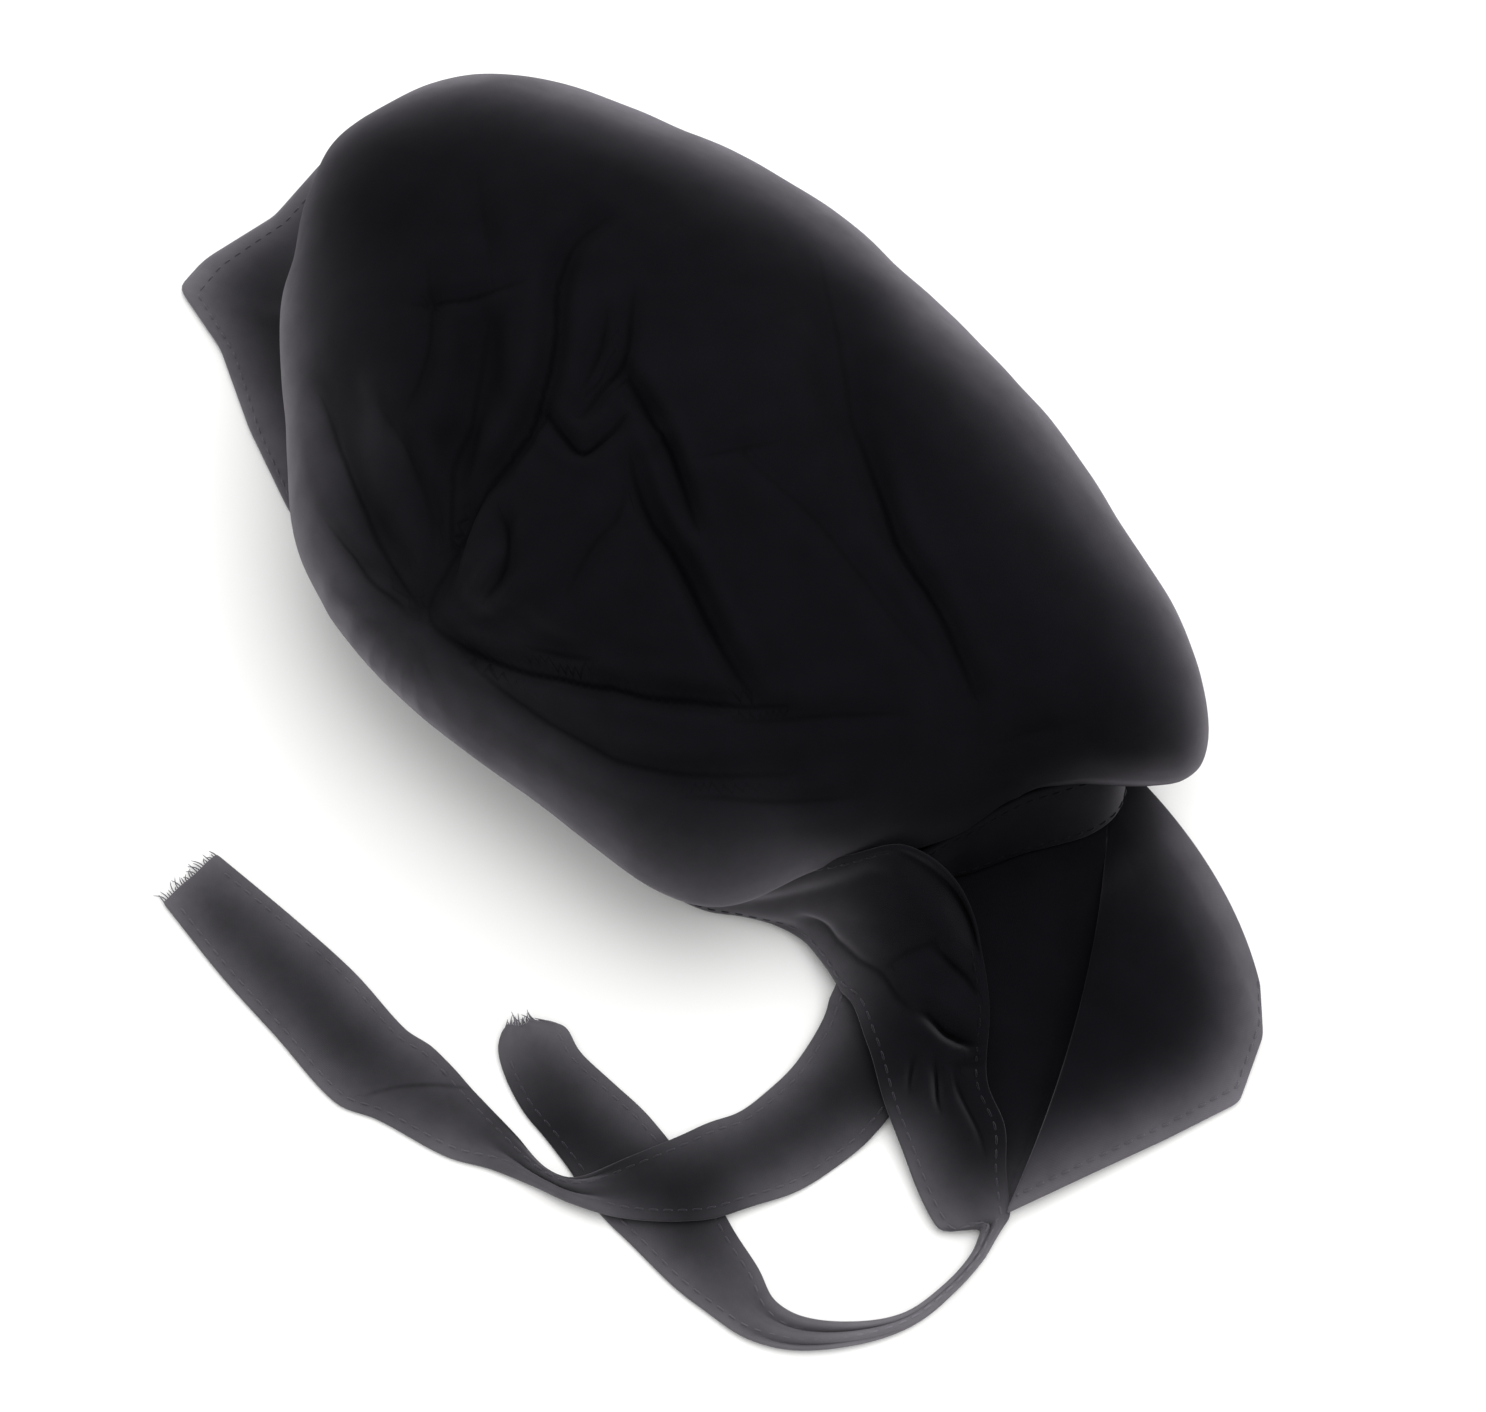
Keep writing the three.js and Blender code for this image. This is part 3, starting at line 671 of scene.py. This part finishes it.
wrinkleSet = {
    "pinch": (0.82, -0.07),  # where the folds of the left side meet
    "rays": 15,  # small wrinkles round the pinch
    "rayDepth": 0.9 * mm,
    "rayStart": (4 * mm, 16 * mm),  # distances from the pinch between which they come up
    "rayEnd": (18 * mm, 46 * mm),
    "raySwirl": 46 * mm / 9,
    "billow": 1.3 * mm,  # large soft unevenness
    "billowSize": 46 * mm,
    "crumple": 0.7 * mm,
    "crumpleSize": 15 * mm,
    "crumpleFrom": (28 * mm, 40 * mm),  # levels between which both come up
    "gathers": 58,  # small pleats round the seam above the rim
    "gatherDepth": 0.6 * mm,
    "gatherFrom": (27 * mm, 31 * mm),
    "deepest": 6 * mm,
    "narrow": 0.72,  # width of all folds, as a share of what the table says
    "creaseReach": 2.2 * mm,  # how far from a fold's line its crease can show
}


# Distance of every point to a line through a few points, how far along the line it is, and the
# same distance with the sign of the side that it lies on
def distanceTo(points, path):
    best = np.full(len(points), 1e9)
    place = np.zeros(len(points))
    side = np.zeros(len(points))
    lengths = np.linalg.norm(np.diff(path, axis=0), axis=1)
    runs = np.concatenate([[0], np.cumsum(lengths)]) / lengths.sum()
    for i in range(len(path) - 1):
        line = path[i + 1] - path[i]
        t = np.clip((points - path[i]) @ line / (line @ line), 0, 1)
        arm = points - path[i] - t[:, None] * line
        distance = np.linalg.norm(arm, axis=1)
        closer = distance < best
        best[closer] = distance[closer]
        place[closer] = (runs[i] + t * (runs[i + 1] - runs[i]))[closer]
        side[closer] = np.sign(line[0] * arm[closer, 1] - line[1] * arm[closer, 0])
    return best, place, best * side


# How far one fold pushes the cloth out, which is mostly in, how near its crease is, and on which
# side. A fold is a valley with a soft ridge along both sides.
def foldPush(points, path, fold):
    distance, place, side = distanceTo(points, path)
    width = fold["width"] * wrinkleSet["narrow"] * mm
    fade = np.clip(np.sin(np.pi * (0.04 + 0.92 * place)), 0, 1) ** 0.5
    valley = np.exp(-((distance / width) ** 2)) + 0.3 * np.exp(-((distance / (2.4 * width)) ** 2))
    ridge = 0.42 * np.exp(-(((distance - 2.1 * width) / (1.1 * width)) ** 2))
    near = np.exp(-((distance / wrinkleSet["creaseReach"]) ** 2)) * fade * fold["sharp"]
    return fold["depth"] * mm * fade * (ridge - 0.8 * valley), near, side


# The folds' pushes added up, with the nearest crease of all at each point
def joinFolds(parts, count):
    pushed, crease, side = np.zeros(count), np.zeros(count), np.full(count, 9 * mm)
    for push, near, away in parts:
        pushed += push
        side = np.where(near > crease, away, side)
        crease = np.maximum(crease, near)
    return pushed, crease, side


# The same for the crown, whose folds are laid out in plan over its upper side
def foldDepths(points, upper, sizes):
    parts = []
    cover = points[upper > 0.5]
    for fold in crownFolds.values():
        shares = np.array(fold["path"])
        steps = np.linspace(0, 1, 30)
        shares = smoothRows(np.linspace(0, 1, len(shares)), shares, steps)
        plan = crownCentre[:2] + shares * (sizes["width"] / 2, sizes["length"] / 2)
        path = np.array([cover[np.argmin(((cover[:, :2] - spot) ** 2).sum(1))] for spot in plan])
        path[:, :2] = plan
        path = np.array([path[max(0, i - 2):i + 3].mean(0) for i in range(len(path))])
        parts.append(foldPush(points, path, fold))
    pushed, crease, side = joinFolds(parts, len(points))
    deepest = wrinkleSet["deepest"]
    pushed = np.where(pushed < 0, -deepest * np.tanh(-pushed / deepest), pushed)
    return pushed * upper, crease * upper, side


def noiseAt(points, size):
    return np.array([noise.noise(Vector(point / size)) for point in points])


# Small wrinkles that run out from the pinch
def pinchRays(points, sizes):
    pinch = crownCentre[:2] + np.array(wrinkleSet["pinch"]) * (sizes["width"] / 2, sizes["length"] / 2)
    arm = points[:, :2] - pinch
    reach = np.linalg.norm(arm, axis=1)
    rays = np.sin(np.arctan2(arm[:, 1], -arm[:, 0]) * wrinkleSet["rays"] + reach / wrinkleSet["raySwirl"])
    near = smoothStep(reach, *wrinkleSet["rayStart"]) * (1 - smoothStep(reach, *wrinkleSet["rayEnd"]))
    return rays * near * wrinkleSet["rayDepth"]


# The back leans in behind the strap and draws in above it
def drawBack(points, degrees, sizes):
    level = points[:, 2]
    drawn = np.interp(degrees, *np.array(backDraw).T) * mm * smoothStep(level, *sizes["drawFrom"])
    leaned = np.minimum(level, sizes["leanTop"]) * np.tan(np.radians(leanAt(degrees)))
    inward = unit(crownCentre[:2] - points[:, :2])
    points[:, :2] += inward * ((leaned + drawn) * (1 - smoothStep(level, *sizes["drawTo"])))[:, None]


def makeCrown(sizes):
    widest = ringShares[sizes["widestRing"]]

    # Most of the grid's rows go to the top, which shows
    def disk(across, along):
        u, v = 2 * across - 1, 2 * along - 1
        x, y = u * np.sqrt(1 - v**2 / 2), v * np.sqrt(1 - u**2 / 2)
        out = np.hypot(x, y)
        knots, shares = (0, sizes["topRows"], 1), (0, widest + 0.03, 1)
        share = 0.7 * np.interp(out, knots, shares) + 0.3 * smoothRows(knots, shares, out)
        return share, np.arctan2(x, -y)

    def shape(across, along):
        return crownPoint(*disk(across, along))

    piece, shares = layGrid("crown_cloth", (sizes["cells"],) * 2, (1, 1), shape)
    share, turn = disk(*shares)
    points = readPoints(piece)
    normals = readNormals(piece)
    if normals[np.argmin(share), 2] < 0:
        normals = -normals
    threads = piece.data.uv_layers["threads"]
    corners = np.empty(len(piece.data.loops), int)
    piece.data.loops.foreach_get("vertex_index", corners)
    plan = np.stack([np.sin(turn), -np.cos(turn)], axis=1) * (share * sizes["meridian"])[:, None]
    threads.data.foreach_set("uv", plan[corners].ravel())

    upper = 1 - smoothStep(share, widest - 0.02, widest + 0.04)
    pushed, crease, side = foldDepths(points, upper, sizes)
    pushed += pinchRays(points, sizes) * (1 - smoothStep(share, widest - 0.04, widest + 0.02))
    above = smoothStep(points[:, 2], *wrinkleSet["crumpleFrom"])
    pushed += noiseAt(points, wrinkleSet["billowSize"]) * wrinkleSet["billow"] * above
    pushed += noiseAt(points + 0.3, wrinkleSet["crumpleSize"]) * wrinkleSet["crumple"] * above
    gathers = np.sin(turn * wrinkleSet["gathers"] + 3 * np.sin(turn * 5) + 2 * np.sin(turn * 11))
    slack = smoothStep(share, widest + 0.03, widest + 0.12) * (1 - smoothStep(share, 0.8, 0.9))
    slack = slack * smoothStep(points[:, 2], *wrinkleSet["gatherFrom"])
    pushed += gathers * slack * wrinkleSet["gatherDepth"]
    points += normals * pushed[:, None]
    drawBack(points, np.degrees(turn) % 360, sizes)
    writePoints(piece, points)
    setAttribute(piece, "crease", crease)
    setAttribute(piece, "side", side)
    setAttribute(piece, "form", normals, "FLOAT_VECTOR")
    finishCloth(piece, sizes["thickness"], 0, crownCloth, "crown", -1)
    return piece


crown = makeCrown(crownSet)
print("crown made")

# Front band
bandSet = {
    "reach": 48 * mm,  # from the rim to the far edge
    "thickness": 2 * mm,
    "rootOut": 1.35 * mm,  # middle of the band's cloth, out from the crown's outer face
    "rootHeight": 24 * mm,
    "cells": (90, 16),
    "cut": (0.24, 0.042),
    "stitchLine": 0.9,  # share of the way from the rim to the far edge
    "hemSpan": (0.04, 0.96),  # shares across between which it is stitched
    "wave": 0.5 * mm,
}

# Outer edge of the band: turn where its thread meets the rim, side as a share of the crown's half
# width, and forward as a share of the reach
bandEdge = [
    (-60, -0.86, -1.25),
    (-50, -0.83, -0.5),
    (-30, -0.6, 0.45),
    (-15, -0.32, 1.0),
    (-10, -0.16, 1.08),
    (0, 0.1, 0.97),
    (10, 0.36, 1.01),
    (15, 0.48, 0.96),
    (25, 0.52, 0.5),
    (40, 0.63, 0),
    (50, 0.72, -0.55),
    (60, 0.74, -1.0),
]


def makeBand(sizes):
    rows = np.array(bandEdge)
    front = rimPath([0], 0)[0, 1]

    def shape(across, along):
        turn = rows[0, 0] + (rows[-1, 0] - rows[0, 0]) * across
        root = rimPath(turn, sizes["rootOut"])
        side, forward = (np.interp(turn, rows[:, 0], rows[:, k]) for k in (1, 2))
        edge = np.stack([
            crownCentre[0] + side * crownSet["width"] / 2,
            front - forward * sizes["reach"],
            0 * turn,
        ], axis=1)
        points = root + (edge - root) * along[:, None]
        low = sizes["thickness"] / 2
        points[:, 2] = low + (sizes["rootHeight"] - low) * (1 - along) ** 2
        wave = np.sin(np.radians(turn * 9) + 3 * along) + 0.6 * np.sin(np.radians(turn * 21))
        points[:, 2] += sizes["wave"] * (1 + wave / 1.6) * np.sin(np.pi * along) ** 2
        return points

    piece, _ = layGrid("brow_cloth", sizes["cells"], sizes["cut"], shape)
    finishCloth(piece, sizes["thickness"], 1, bandCloth, "brow_band")
    hem = hemLine(shape, np.linspace(*sizes["hemSpan"], 120), sizes)
    stitches = makeStitches("brow_stitches", [hem], stitchSet)


makeBand(bandSet)
print("front band made")

# Ties. Each strap runs along the rim's wall, then freely from the place where the two cross.
tieSet = {
    "width": 24 * mm,
    "thickness": 1.2 * mm,
    "spread": 110 * mm,
    "layer": 1.55 * mm,  # one thickness of cloth with the air under it
    "wallOut": 0.95 * mm,  # middle of the strap's cloth, out from the crown's outer face
    "knotTurn": 158.5,
    "knotOut": 36.9 * mm,
    "lift": 2.2 * mm,
    "columns": 26,
    "rowStep": 2 * mm,
    "rolledFold": 4 * mm,  # depth of the long folds where a tie is pulled narrow
    "foldWander": 40 * mm,
    "freeFrom": (-5 * mm, 15 * mm),  # past the rim's wall, where these folds come up
    "bunchedFrom": (-0.8, 0.2),  # the same for the knot's ripples, in tie widths
    "creaseScale": (0.75, 1),  # half a tie's width in the creases' tables, and a width along it
    "stitchesFrom": 8 * mm,
    "stitchesTo": 4 * mm,  # from the cut end
}

# Sections of the free ties: x and y as shares of the spread, heading in degrees, lift in layers,
# roll in degrees, and width as a share of the tie's width
leftRoute = [
    (0.01, -0.36, 125, 1.4, 80, 1.12),
    (-0.05, -0.28, 106, 1.7, 70, 1.4),
    (-0.1, -0.18, 100, 2.3, 51, 1.82),
    (-0.11, -0.08, 85, 4.4, 22, 1.52),
    (-0.05, 0.05, 68, 4, 3, 1.3),
    (0.04, 0.17, 62, 3, 0, 1.05),
    (0.08, 0.27, 62, 2, 0, 1.05),
    (0.13, 0.35, 64, 1.4, 0, 0.9),
    (0.16, 0.41, 66, 1.2, 0, 0.78),
    (0.17, 0.44, 62, 1.0, 0, 0.66),
    (0.15, 0.46, 55, 0.8, 0, 0.24),
    (0.18, 0.475, 36, 0.4, 0, 0.13),
    (0.22, 0.49, 22, 0, 0, 0.1),
    (0.31, 0.5, 6, 0, 0, 0.09),
    (0.42, 0.49, -14, 0, 0, 0.1),
    (0.52, 0.44, -36, 0, 0, 0.18),
    (0.61, 0.36, -52, 0, 0, 0.3),
    (0.65, 0.28, -78, 0, 0, 0.45),
    (0.65, 0.2, -90, 0, 0, 0.65),
    (0.65, 0.11, -90, 0, 0, 0.8),
    (0.64, -0.01, -92, 0, 0, 0.95),
    (0.64, -0.13, -92, 0, 0, 1),
    (0.63, -0.23, -92, 0, 0, 0.95),
    (0.63, -0.32, -90, 0, 0, 0.88),
    (0.63, -0.42, -88, 0, 0, 0.82),
    (0.6, -0.52, -110, 0, 0, 0.7),
    (0.59, -0.55, -120, 0, 0, 0.4),
]
rightRoute = [
    (-0.24, -0.19, -12, 1.4, 80, 1),
    (-0.17, -0.17, 20, 1.5, 50, 0.95),
    (-0.1, -0.12, 36, 1.6, 14, 0.95),
    (-0.02, -0.06, 32, 1.6, 5, 1),
    (0.09, 0, 0, 1.5, 0, 1.15),
    (0.21, 0.03, 0, 0.6, 0, 1.08),
    (0.3, 0.03, 0, 0, 0, 1.04),
    (0.39, 0.02, -6, 0.2, 0, 1),
    (0.47, -0.01, -15, 1, 0, 0.96),
    (0.55, -0.04, -26, 1.4, 0, 0.9),
    (0.68, -0.12, -38, 1.4, 0, 0.6),
    (0.76, -0.19, -50, 1, 0, 0.25),
    (0.79, -0.26, -70, 0.3, 0, 0.2),
    (0.81, -0.35, -78, 0, 0, 0.4),
    (0.84, -0.45, -76, 0, 0, 0.66),
    (0.87, -0.62, -78, 0, 0, 0.92),
    (0.9, -0.7, -82, 0, 0, 1.02),
    (0.9, -0.89, -88, 0, 0, 1.02),
    (0.91, -1.08, -88, 0, 0, 0.94),
    (0.92, -1.31, -86, 0, 0, 0.74),
]


# All sections of a strap, first every 5 degrees along the wall, then the free ones. It gives the
# runs at which they lie, the sections, and the run at which the strap leaves the wall.
def strapSections(strap, sizes):
    fromTurn, toTurn = strap["turns"]
    way = np.sign(toTurn - fromTurn)
    turns = np.linspace(fromTurn, toTurn, int(abs(toTurn - fromTurn) / 5) + 1)
    leans = leanAt(turns)
    wall = rimPath(turns, sizes["wallOut"] - np.sin(np.radians(leans)) * sizes["width"] / 2)
    ahead = rimPath(turns + way, sizes["wallOut"]) - rimPath(turns - way, sizes["wallOut"])
    headings = np.degrees(np.arctan2(ahead[:, 1], ahead[:, 0]))
    lifts = np.full(len(turns), sizes["lift"] / sizes["layer"])
    widths = np.ones(len(turns))
    wallRows = np.stack([wall[:, 0], wall[:, 1], headings, lifts, 90 - leans, widths], axis=1)
    free = np.array(strap["route"], float)
    knot = rimPath([sizes["knotTurn"]], sizes["knotOut"])[0]
    free[:, :2] = knot[:2] + free[:, :2] * sizes["spread"]
    sections = np.concatenate([wallRows, free])
    gaps = np.linalg.norm(np.diff(sections[:, :2], axis=0), axis=1)
    runs = np.concatenate([[0], np.cumsum(gaps)])
    return runs, sections, runs[len(wallRows)]


def makeTie(name, node, strap, sizes):
    runs, sections, wallEnd = strapSections(strap, sizes)
    length = runs[-1]
    thickness = sizes["thickness"]
    upper = strap["upper"]
    ripple = strap["ripple"]

    # Middle of the strap at each run, the ways across and out of its cloth, and its half width
    def frames(run):
        x, y, heading, lift, roll, width = smoothRows(runs, sections, run).T
        angle, way = np.radians(roll), np.radians(heading)
        flat = np.cos(angle)
        forward = np.stack([np.cos(way), np.sin(way), 0 * run], axis=1)
        toUpper = np.stack([-np.sin(way) * upper * flat, np.cos(way) * upper * flat, np.sin(angle)], axis=1)
        face = np.cross(forward, toUpper) * upper
        half = width * sizes["width"] / 2
        level = lift * sizes["layer"] + thickness * flat / 2 + half * np.sin(angle)
        return np.stack([x, y, level], axis=1), toUpper, face, half, width

    # Places on the strap are its side from -1 to 1, and tie widths past the rim's wall
    def creasesAt(across, along):
        scale = np.array(sizes["creaseScale"]) * sizes["width"]
        places = np.stack([2 * across - 1, (along * length - wallEnd) / sizes["width"]], axis=1)
        parts = [foldPush(places * scale, np.array(fold["path"]) * scale, fold) for fold in strap["creases"]]
        return joinFolds(parts, len(places))

    def shape(across, along):
        run = along * length
        middle, toUpper, face, half, width = frames(run)
        side = 2 * across - 1
        points = middle + toUpper * (side * half)[:, None]
        pinch = np.clip(1 - width, 0, 0.8) ** 1.5
        free = smoothStep(run - wallEnd, *sizes["freeFrom"])
        folds = 0.5 - 0.5 * np.cos(2 * np.pi * (side + 1) + 2 * np.sin(run / sizes["foldWander"]))
        beyond = (run - wallEnd) / sizes["width"]
        bunched = smoothStep(beyond, *sizes["bunchedFrom"]) * (1 - smoothStep(beyond, *ripple["fade"]))
        waves = ripple["count"] * side / 2 - ripple["slant"] * beyond
        ripples = 0.5 - 0.5 * np.cos(2 * np.pi * waves)
        pushed = folds * pinch * free * sizes["rolledFold"] + ripples * bunched * ripple["depth"]
        pushed += creasesAt(across, along)[0]
        points += face * pushed[:, None]
        points[:, 2] = np.maximum(points[:, 2], thickness / 2)
        return points

    rows = int(length / sizes["rowStep"])
    piece, shares = layGrid(name, (sizes["columns"], rows), (sizes["width"], length), shape)
    _, crease, aside = creasesAt(*shares)
    setAttribute(piece, "crease", crease)
    setAttribute(piece, "side", aside)
    finishCloth(piece, thickness, 1, tieCloth, node)
    run = np.linspace(sizes["stitchesFrom"], length - sizes["stitchesTo"], 900)
    _, _, face, half, _ = frames(run)
    inset = np.minimum(stitchSet["inset"] / half, 0.6)
    hems = []
    for edge in (-1, 1):
        middles = shape((edge * (1 - inset) + 1) / 2, run / length)
        hems.append((middles + face * thickness / 2, face))
    stitches = makeStitches(name + "_stitches", hems, stitchSet)
    fringe = makeFringe(name + "_fringe", shape, length, fraySet)
    print(name, "is", round(length / mm), "mm long")


fraySet = {
    "count": 26,
    "radius": 0.17 * mm,
    "shortest": 0.8 * mm,
    "longest": 3.2 * mm,
    "stray": 0.7,  # sideways share of a thread's length
    "sag": 0.3 * mm,
    "floor": 0.25 * mm,  # lowest level of a thread's middle
    "sides": 5,
    # places as shares of a thread's length, and shares of the radius there
    "profile": [(-0.3, 1), (0.1, 1), (0.4, 0.9), (0.7, 0.7), (1, 0.35)],
}


# Threads that fray out of the cut end of a tie
def makeFringe(name, shape, length, sizes):
    chance = np.random.default_rng(7)
    across = np.linspace(0.02, 0.98, sizes["count"])
    start = shape(across, 0 * across + 1)
    ahead = unit(start - shape(across, 0 * across + 1 - 3 * mm / length))
    beside = np.cross((0.0, 0.0, 1.0), ahead)
    reach = chance.uniform(sizes["shortest"], sizes["longest"], sizes["count"])[:, None]
    stray = chance.uniform(-1, 1, sizes["count"])[:, None] * sizes["stray"]
    rows = []
    for share, _ in sizes["profile"]:
        spot = start + (ahead * share + beside * stray * max(share, 0) ** 2) * reach
        spot[:, 2] = np.maximum(spot[:, 2] - max(share, 0) * sizes["sag"], sizes["floor"])
        rows.append(spot)
    radii = [share * sizes["radius"] for _, share in sizes["profile"]]
    return makeRods(name, np.stack(rows, axis=1), radii, sizes["sides"], threadCloth)


# The two straps. Turns are where each starts and leaves the wall, and upper is 1 where the strap's
# left side is the upper one, seen along it. Ripples and creases are where it bunches at the knot,
# placed in tie widths past the rim's wall, the creases also by side from -1 to 1 across it.
leftStrap = {
    "turns": (61, 135),
    "upper": 1,
    "route": leftRoute,
    "ripple": {"fade": (0.9, 1.9), "count": 2.2, "slant": 0.7, "depth": 1.4 * mm},
    "creases": [
        {"path": [(0.8, 1.2), (0.86, 1.33), (0.9, 1.5), (0.93, 1.7)],
         "width": 3.4, "depth": 7, "sharp": 1},
        {"path": [(0.36, 1.55), (0.53, 1.73), (0.7, 1.87), (0.8, 2.0)],
         "width": 2, "depth": 2.2, "sharp": 0.9},
        {"path": [(-0.05, 1.96), (0.07, 2.06), (0.24, 2.2), (0.48, 2.31), (0.76, 2.42)],
         "width": 2.4, "depth": 6, "sharp": 1},
        {"path": [(-0.4, 0.3), (-0.68, 0.7), (-0.6, 1.08), (-0.48, 1.38), (-0.4, 1.7), (-0.2, 1.94)],
         "width": 2.8, "depth": 2.4, "sharp": 0.5},
        {"path": [(-0.35, 1.38), (-0.07, 1.4), (0.2, 1.46), (0.6, 1.54)],
         "width": 2.2, "depth": 1.5, "sharp": 0.4},
        {"path": [(0.92, 0.85), (0.82, 1.05), (0.78, 1.25)],
         "width": 2.2, "depth": 1.8, "sharp": 0.6},
        {"path": [(0.05, 2.54), (0.05, 2.72), (-0.05, 2.95)],
         "width": 2.4, "depth": 2.6, "sharp": 0.7},
        {"path": [(-0.32, 2.4), (-0.42, 2.56), (-0.5, 2.72)],
         "width": 2, "depth": 1.8, "sharp": 0.4},
        {"path": [(0.38, 2.56), (0.68, 2.6), (0.95, 2.62)],
         "width": 2, "depth": 1.6, "sharp": 0.4},
        {"path": [(0.35, 2.6), (0.45, 2.9), (0.48, 3.2), (0.55, 3.5)],
         "width": 2.4, "depth": 1.4, "sharp": 0.4},
    ],
}
rightStrap = {
    "turns": (299, 175),
    "upper": -1,
    "route": rightRoute,
    "ripple": {"fade": (0.6, 1.4), "count": 2.2, "slant": 0.5, "depth": 0.7 * mm},
    "creases": [
        {"path": [(-0.6, 7.4), (-0.22, 7.23), (0.4, 6.9), (0.98, 6.57)],
         "width": 2.4, "depth": 2, "sharp": 0.5},
    ],
}
makeTie("tie_left_cloth", "tie_left", leftStrap, tieSet)
makeTie("tie_right_cloth", "tie_right", rightStrap, tieSet)
print("ties made")

# Cape
capeSet = {
    "length": 84 * mm,
    "thickness": 1.2 * mm,
    "rootOut": 0.1 * mm,
    "rise": 9 * mm,
    "flatRoot": 0.04,
    "fullRise": 0.26,
    "stitchLine": 0.955,  # share of the way from the rim to the hem
    "hemSpan": (0.01, 0.6),  # shares across between which it is stitched
    "backIn": 0.6 * mm,
    "cells": (96, 44),
    "cut": (0.12, 0.09),
}

# Threads of the cape from rim to hem: thread, turn of the root, then side, back and rise in the
# middle and at the hem, as shares of the half width, the cape's length and the rise
capeThreads = [
    (0, 215, -0.51, 0.46, 0, -0.36, 0.82, 0),
    (1, 210, -0.4, 0.54, 0.45, -0.25, 0.94, 0.1),
    (2, 206, -0.28, 0.6, 0.7, -0.07, 1.03, 0.05),
    (3, 206, -0.15, 0.6, 0.85, 0.16, 0.97, 0.15),
    (4, 205.5, -0.01, 0.57, 1, 0.4, 0.9, 0.3),
    (5, 205, 0.1, 0.55, 1.05, 0.64, 0.83, 0.4),
    (5.4, 204, 0.0, 0.54, 0.3, 0.55, 0.84, 0.1),
    (6, 196, 0.13, 0.52, 0.05, 0.63, 0.8, 0),
    (7, 175, 0.3, 0.45, 0.1, 0.64, 0.79, 0),
    (8, 150, 0.48, 0.38, 0.05, 0.65, 0.77, 0),
]


def makeCape(sizes):
    rows = np.array(capeThreads)
    back = rimPath([180], 0)[0, 1] - sizes["backIn"]
    spots = np.linspace(0, 1, len(rows))

    def at(side, behind, rise):
        across = crownCentre[0] + side * crownSet["width"] / 2
        return np.stack([across, back + behind * sizes["length"], rise * sizes["rise"]], axis=1)

    def shape(across, along):
        thread = np.interp(across, spots, rows[:, 0])
        turn, midSide, midBack, midRise, hemSide, hemBack, hemRise = (
            np.interp(thread, rows[:, 0], rows[:, k]) for k in range(1, 8)
        )
        root = rimPath(turn, sizes["rootOut"])
        root[:, 2] = 0
        middle, hem = at(midSide, midBack, midRise), at(hemSide, hemBack, hemRise)
        pull = middle * 2 - (root + hem) / 2
        t = along[:, None]
        points = root * (1 - t) ** 2 + pull * 2 * t * (1 - t) + hem * t**2
        clear = smoothStep(along, sizes["flatRoot"], sizes["fullRise"])
        points[:, 2] = sizes["thickness"] / 2 + np.maximum(points[:, 2], 0) * clear
        return points

    piece, _ = layGrid("cape_cloth", sizes["cells"], sizes["cut"], shape)
    finishCloth(piece, sizes["thickness"], 1, crownCloth, "cape")
    hem = hemLine(shape, np.linspace(*sizes["hemSpan"], 90), sizes)
    stitches = makeStitches("cape_stitches", [hem], stitchSet)


makeCape(capeSet)
print("cape made")

# Painted edge light pales the cloth towards the free edges of the whole durag as it lies, and its
# painted sheen shows where it lies open. Both follow how empty the surroundings are, seen from
# straight above.
paleSet = {
    "cell": 1.5 * mm,
    "margin": 80 * mm,
    "openReach": 20 * mm,
    "paleReach": 8 * mm,
    "crownShare": 0.22,  # the crown's flanks take less painted edge light than the rest
}


# A plan of the whole durag in small cells, 1 where there is cloth, and the plan's low corner
def planCells(plans, sizes):
    everything = np.concatenate(plans)
    low = everything.min(0) - sizes["margin"]
    count = np.ceil((everything.max(0) + sizes["margin"] - low) / sizes["cell"]).astype(int)
    cells = np.floor((everything - low) / sizes["cell"]).astype(int)
    filled = np.zeros(count)
    filled[cells[:, 0], cells[:, 1]] = 1
    steps = [(dx, dy) for dx in (-1, 0, 1) for dy in (-1, 0, 1)]
    filled = np.max([np.roll(filled, step, (0, 1)) for step in steps], axis=0)
    filled = np.min([np.roll(filled, step, (0, 1)) for step in steps], axis=0)
    return filled, low


def blurCells(cells, reach, sizes):
    spread = int(3 * reach / sizes["cell"])
    kernel = np.exp(-0.5 * (np.arange(-spread, spread + 1) * sizes["cell"] / reach) ** 2)
    for axis in (0, 1):
        cells = np.apply_along_axis(np.convolve, axis, cells, kernel / kernel.sum(), "same")
    return cells


# Values at places between the cells
def readCells(cells, places):
    corner = np.floor(places).astype(int)
    part = places - corner
    value = 0
    for dx in (0, 1):
        for dy in (0, 1):
            weight = np.abs(1 - dx - part[:, 0]) * np.abs(1 - dy - part[:, 1])
            value = value + weight * cells[corner[:, 0] + dx, corner[:, 1] + dy]
    return value


# Paints edge light as the attribute "pale", and sets "open", which masks the painted sheen
def paleEdges(pieces, sizes):
    plans = [readPoints(piece)[:, :2] for piece in pieces]
    filled, low = planCells(plans, sizes)
    for name, reach in (("open", sizes["openReach"]), ("pale", sizes["paleReach"])):
        covered = blurCells(filled, reach, sizes)
        for piece, plan in zip(pieces, plans):
            empty = np.clip(1 - readCells(covered, (plan - low) / sizes["cell"] - 0.5), 0, 1)
            share = sizes["crownShare"] if piece == crown and name == "pale" else 1
            setAttribute(piece, name, empty * share)


paleEdges(cloths, paleSet)
print("edges paled")
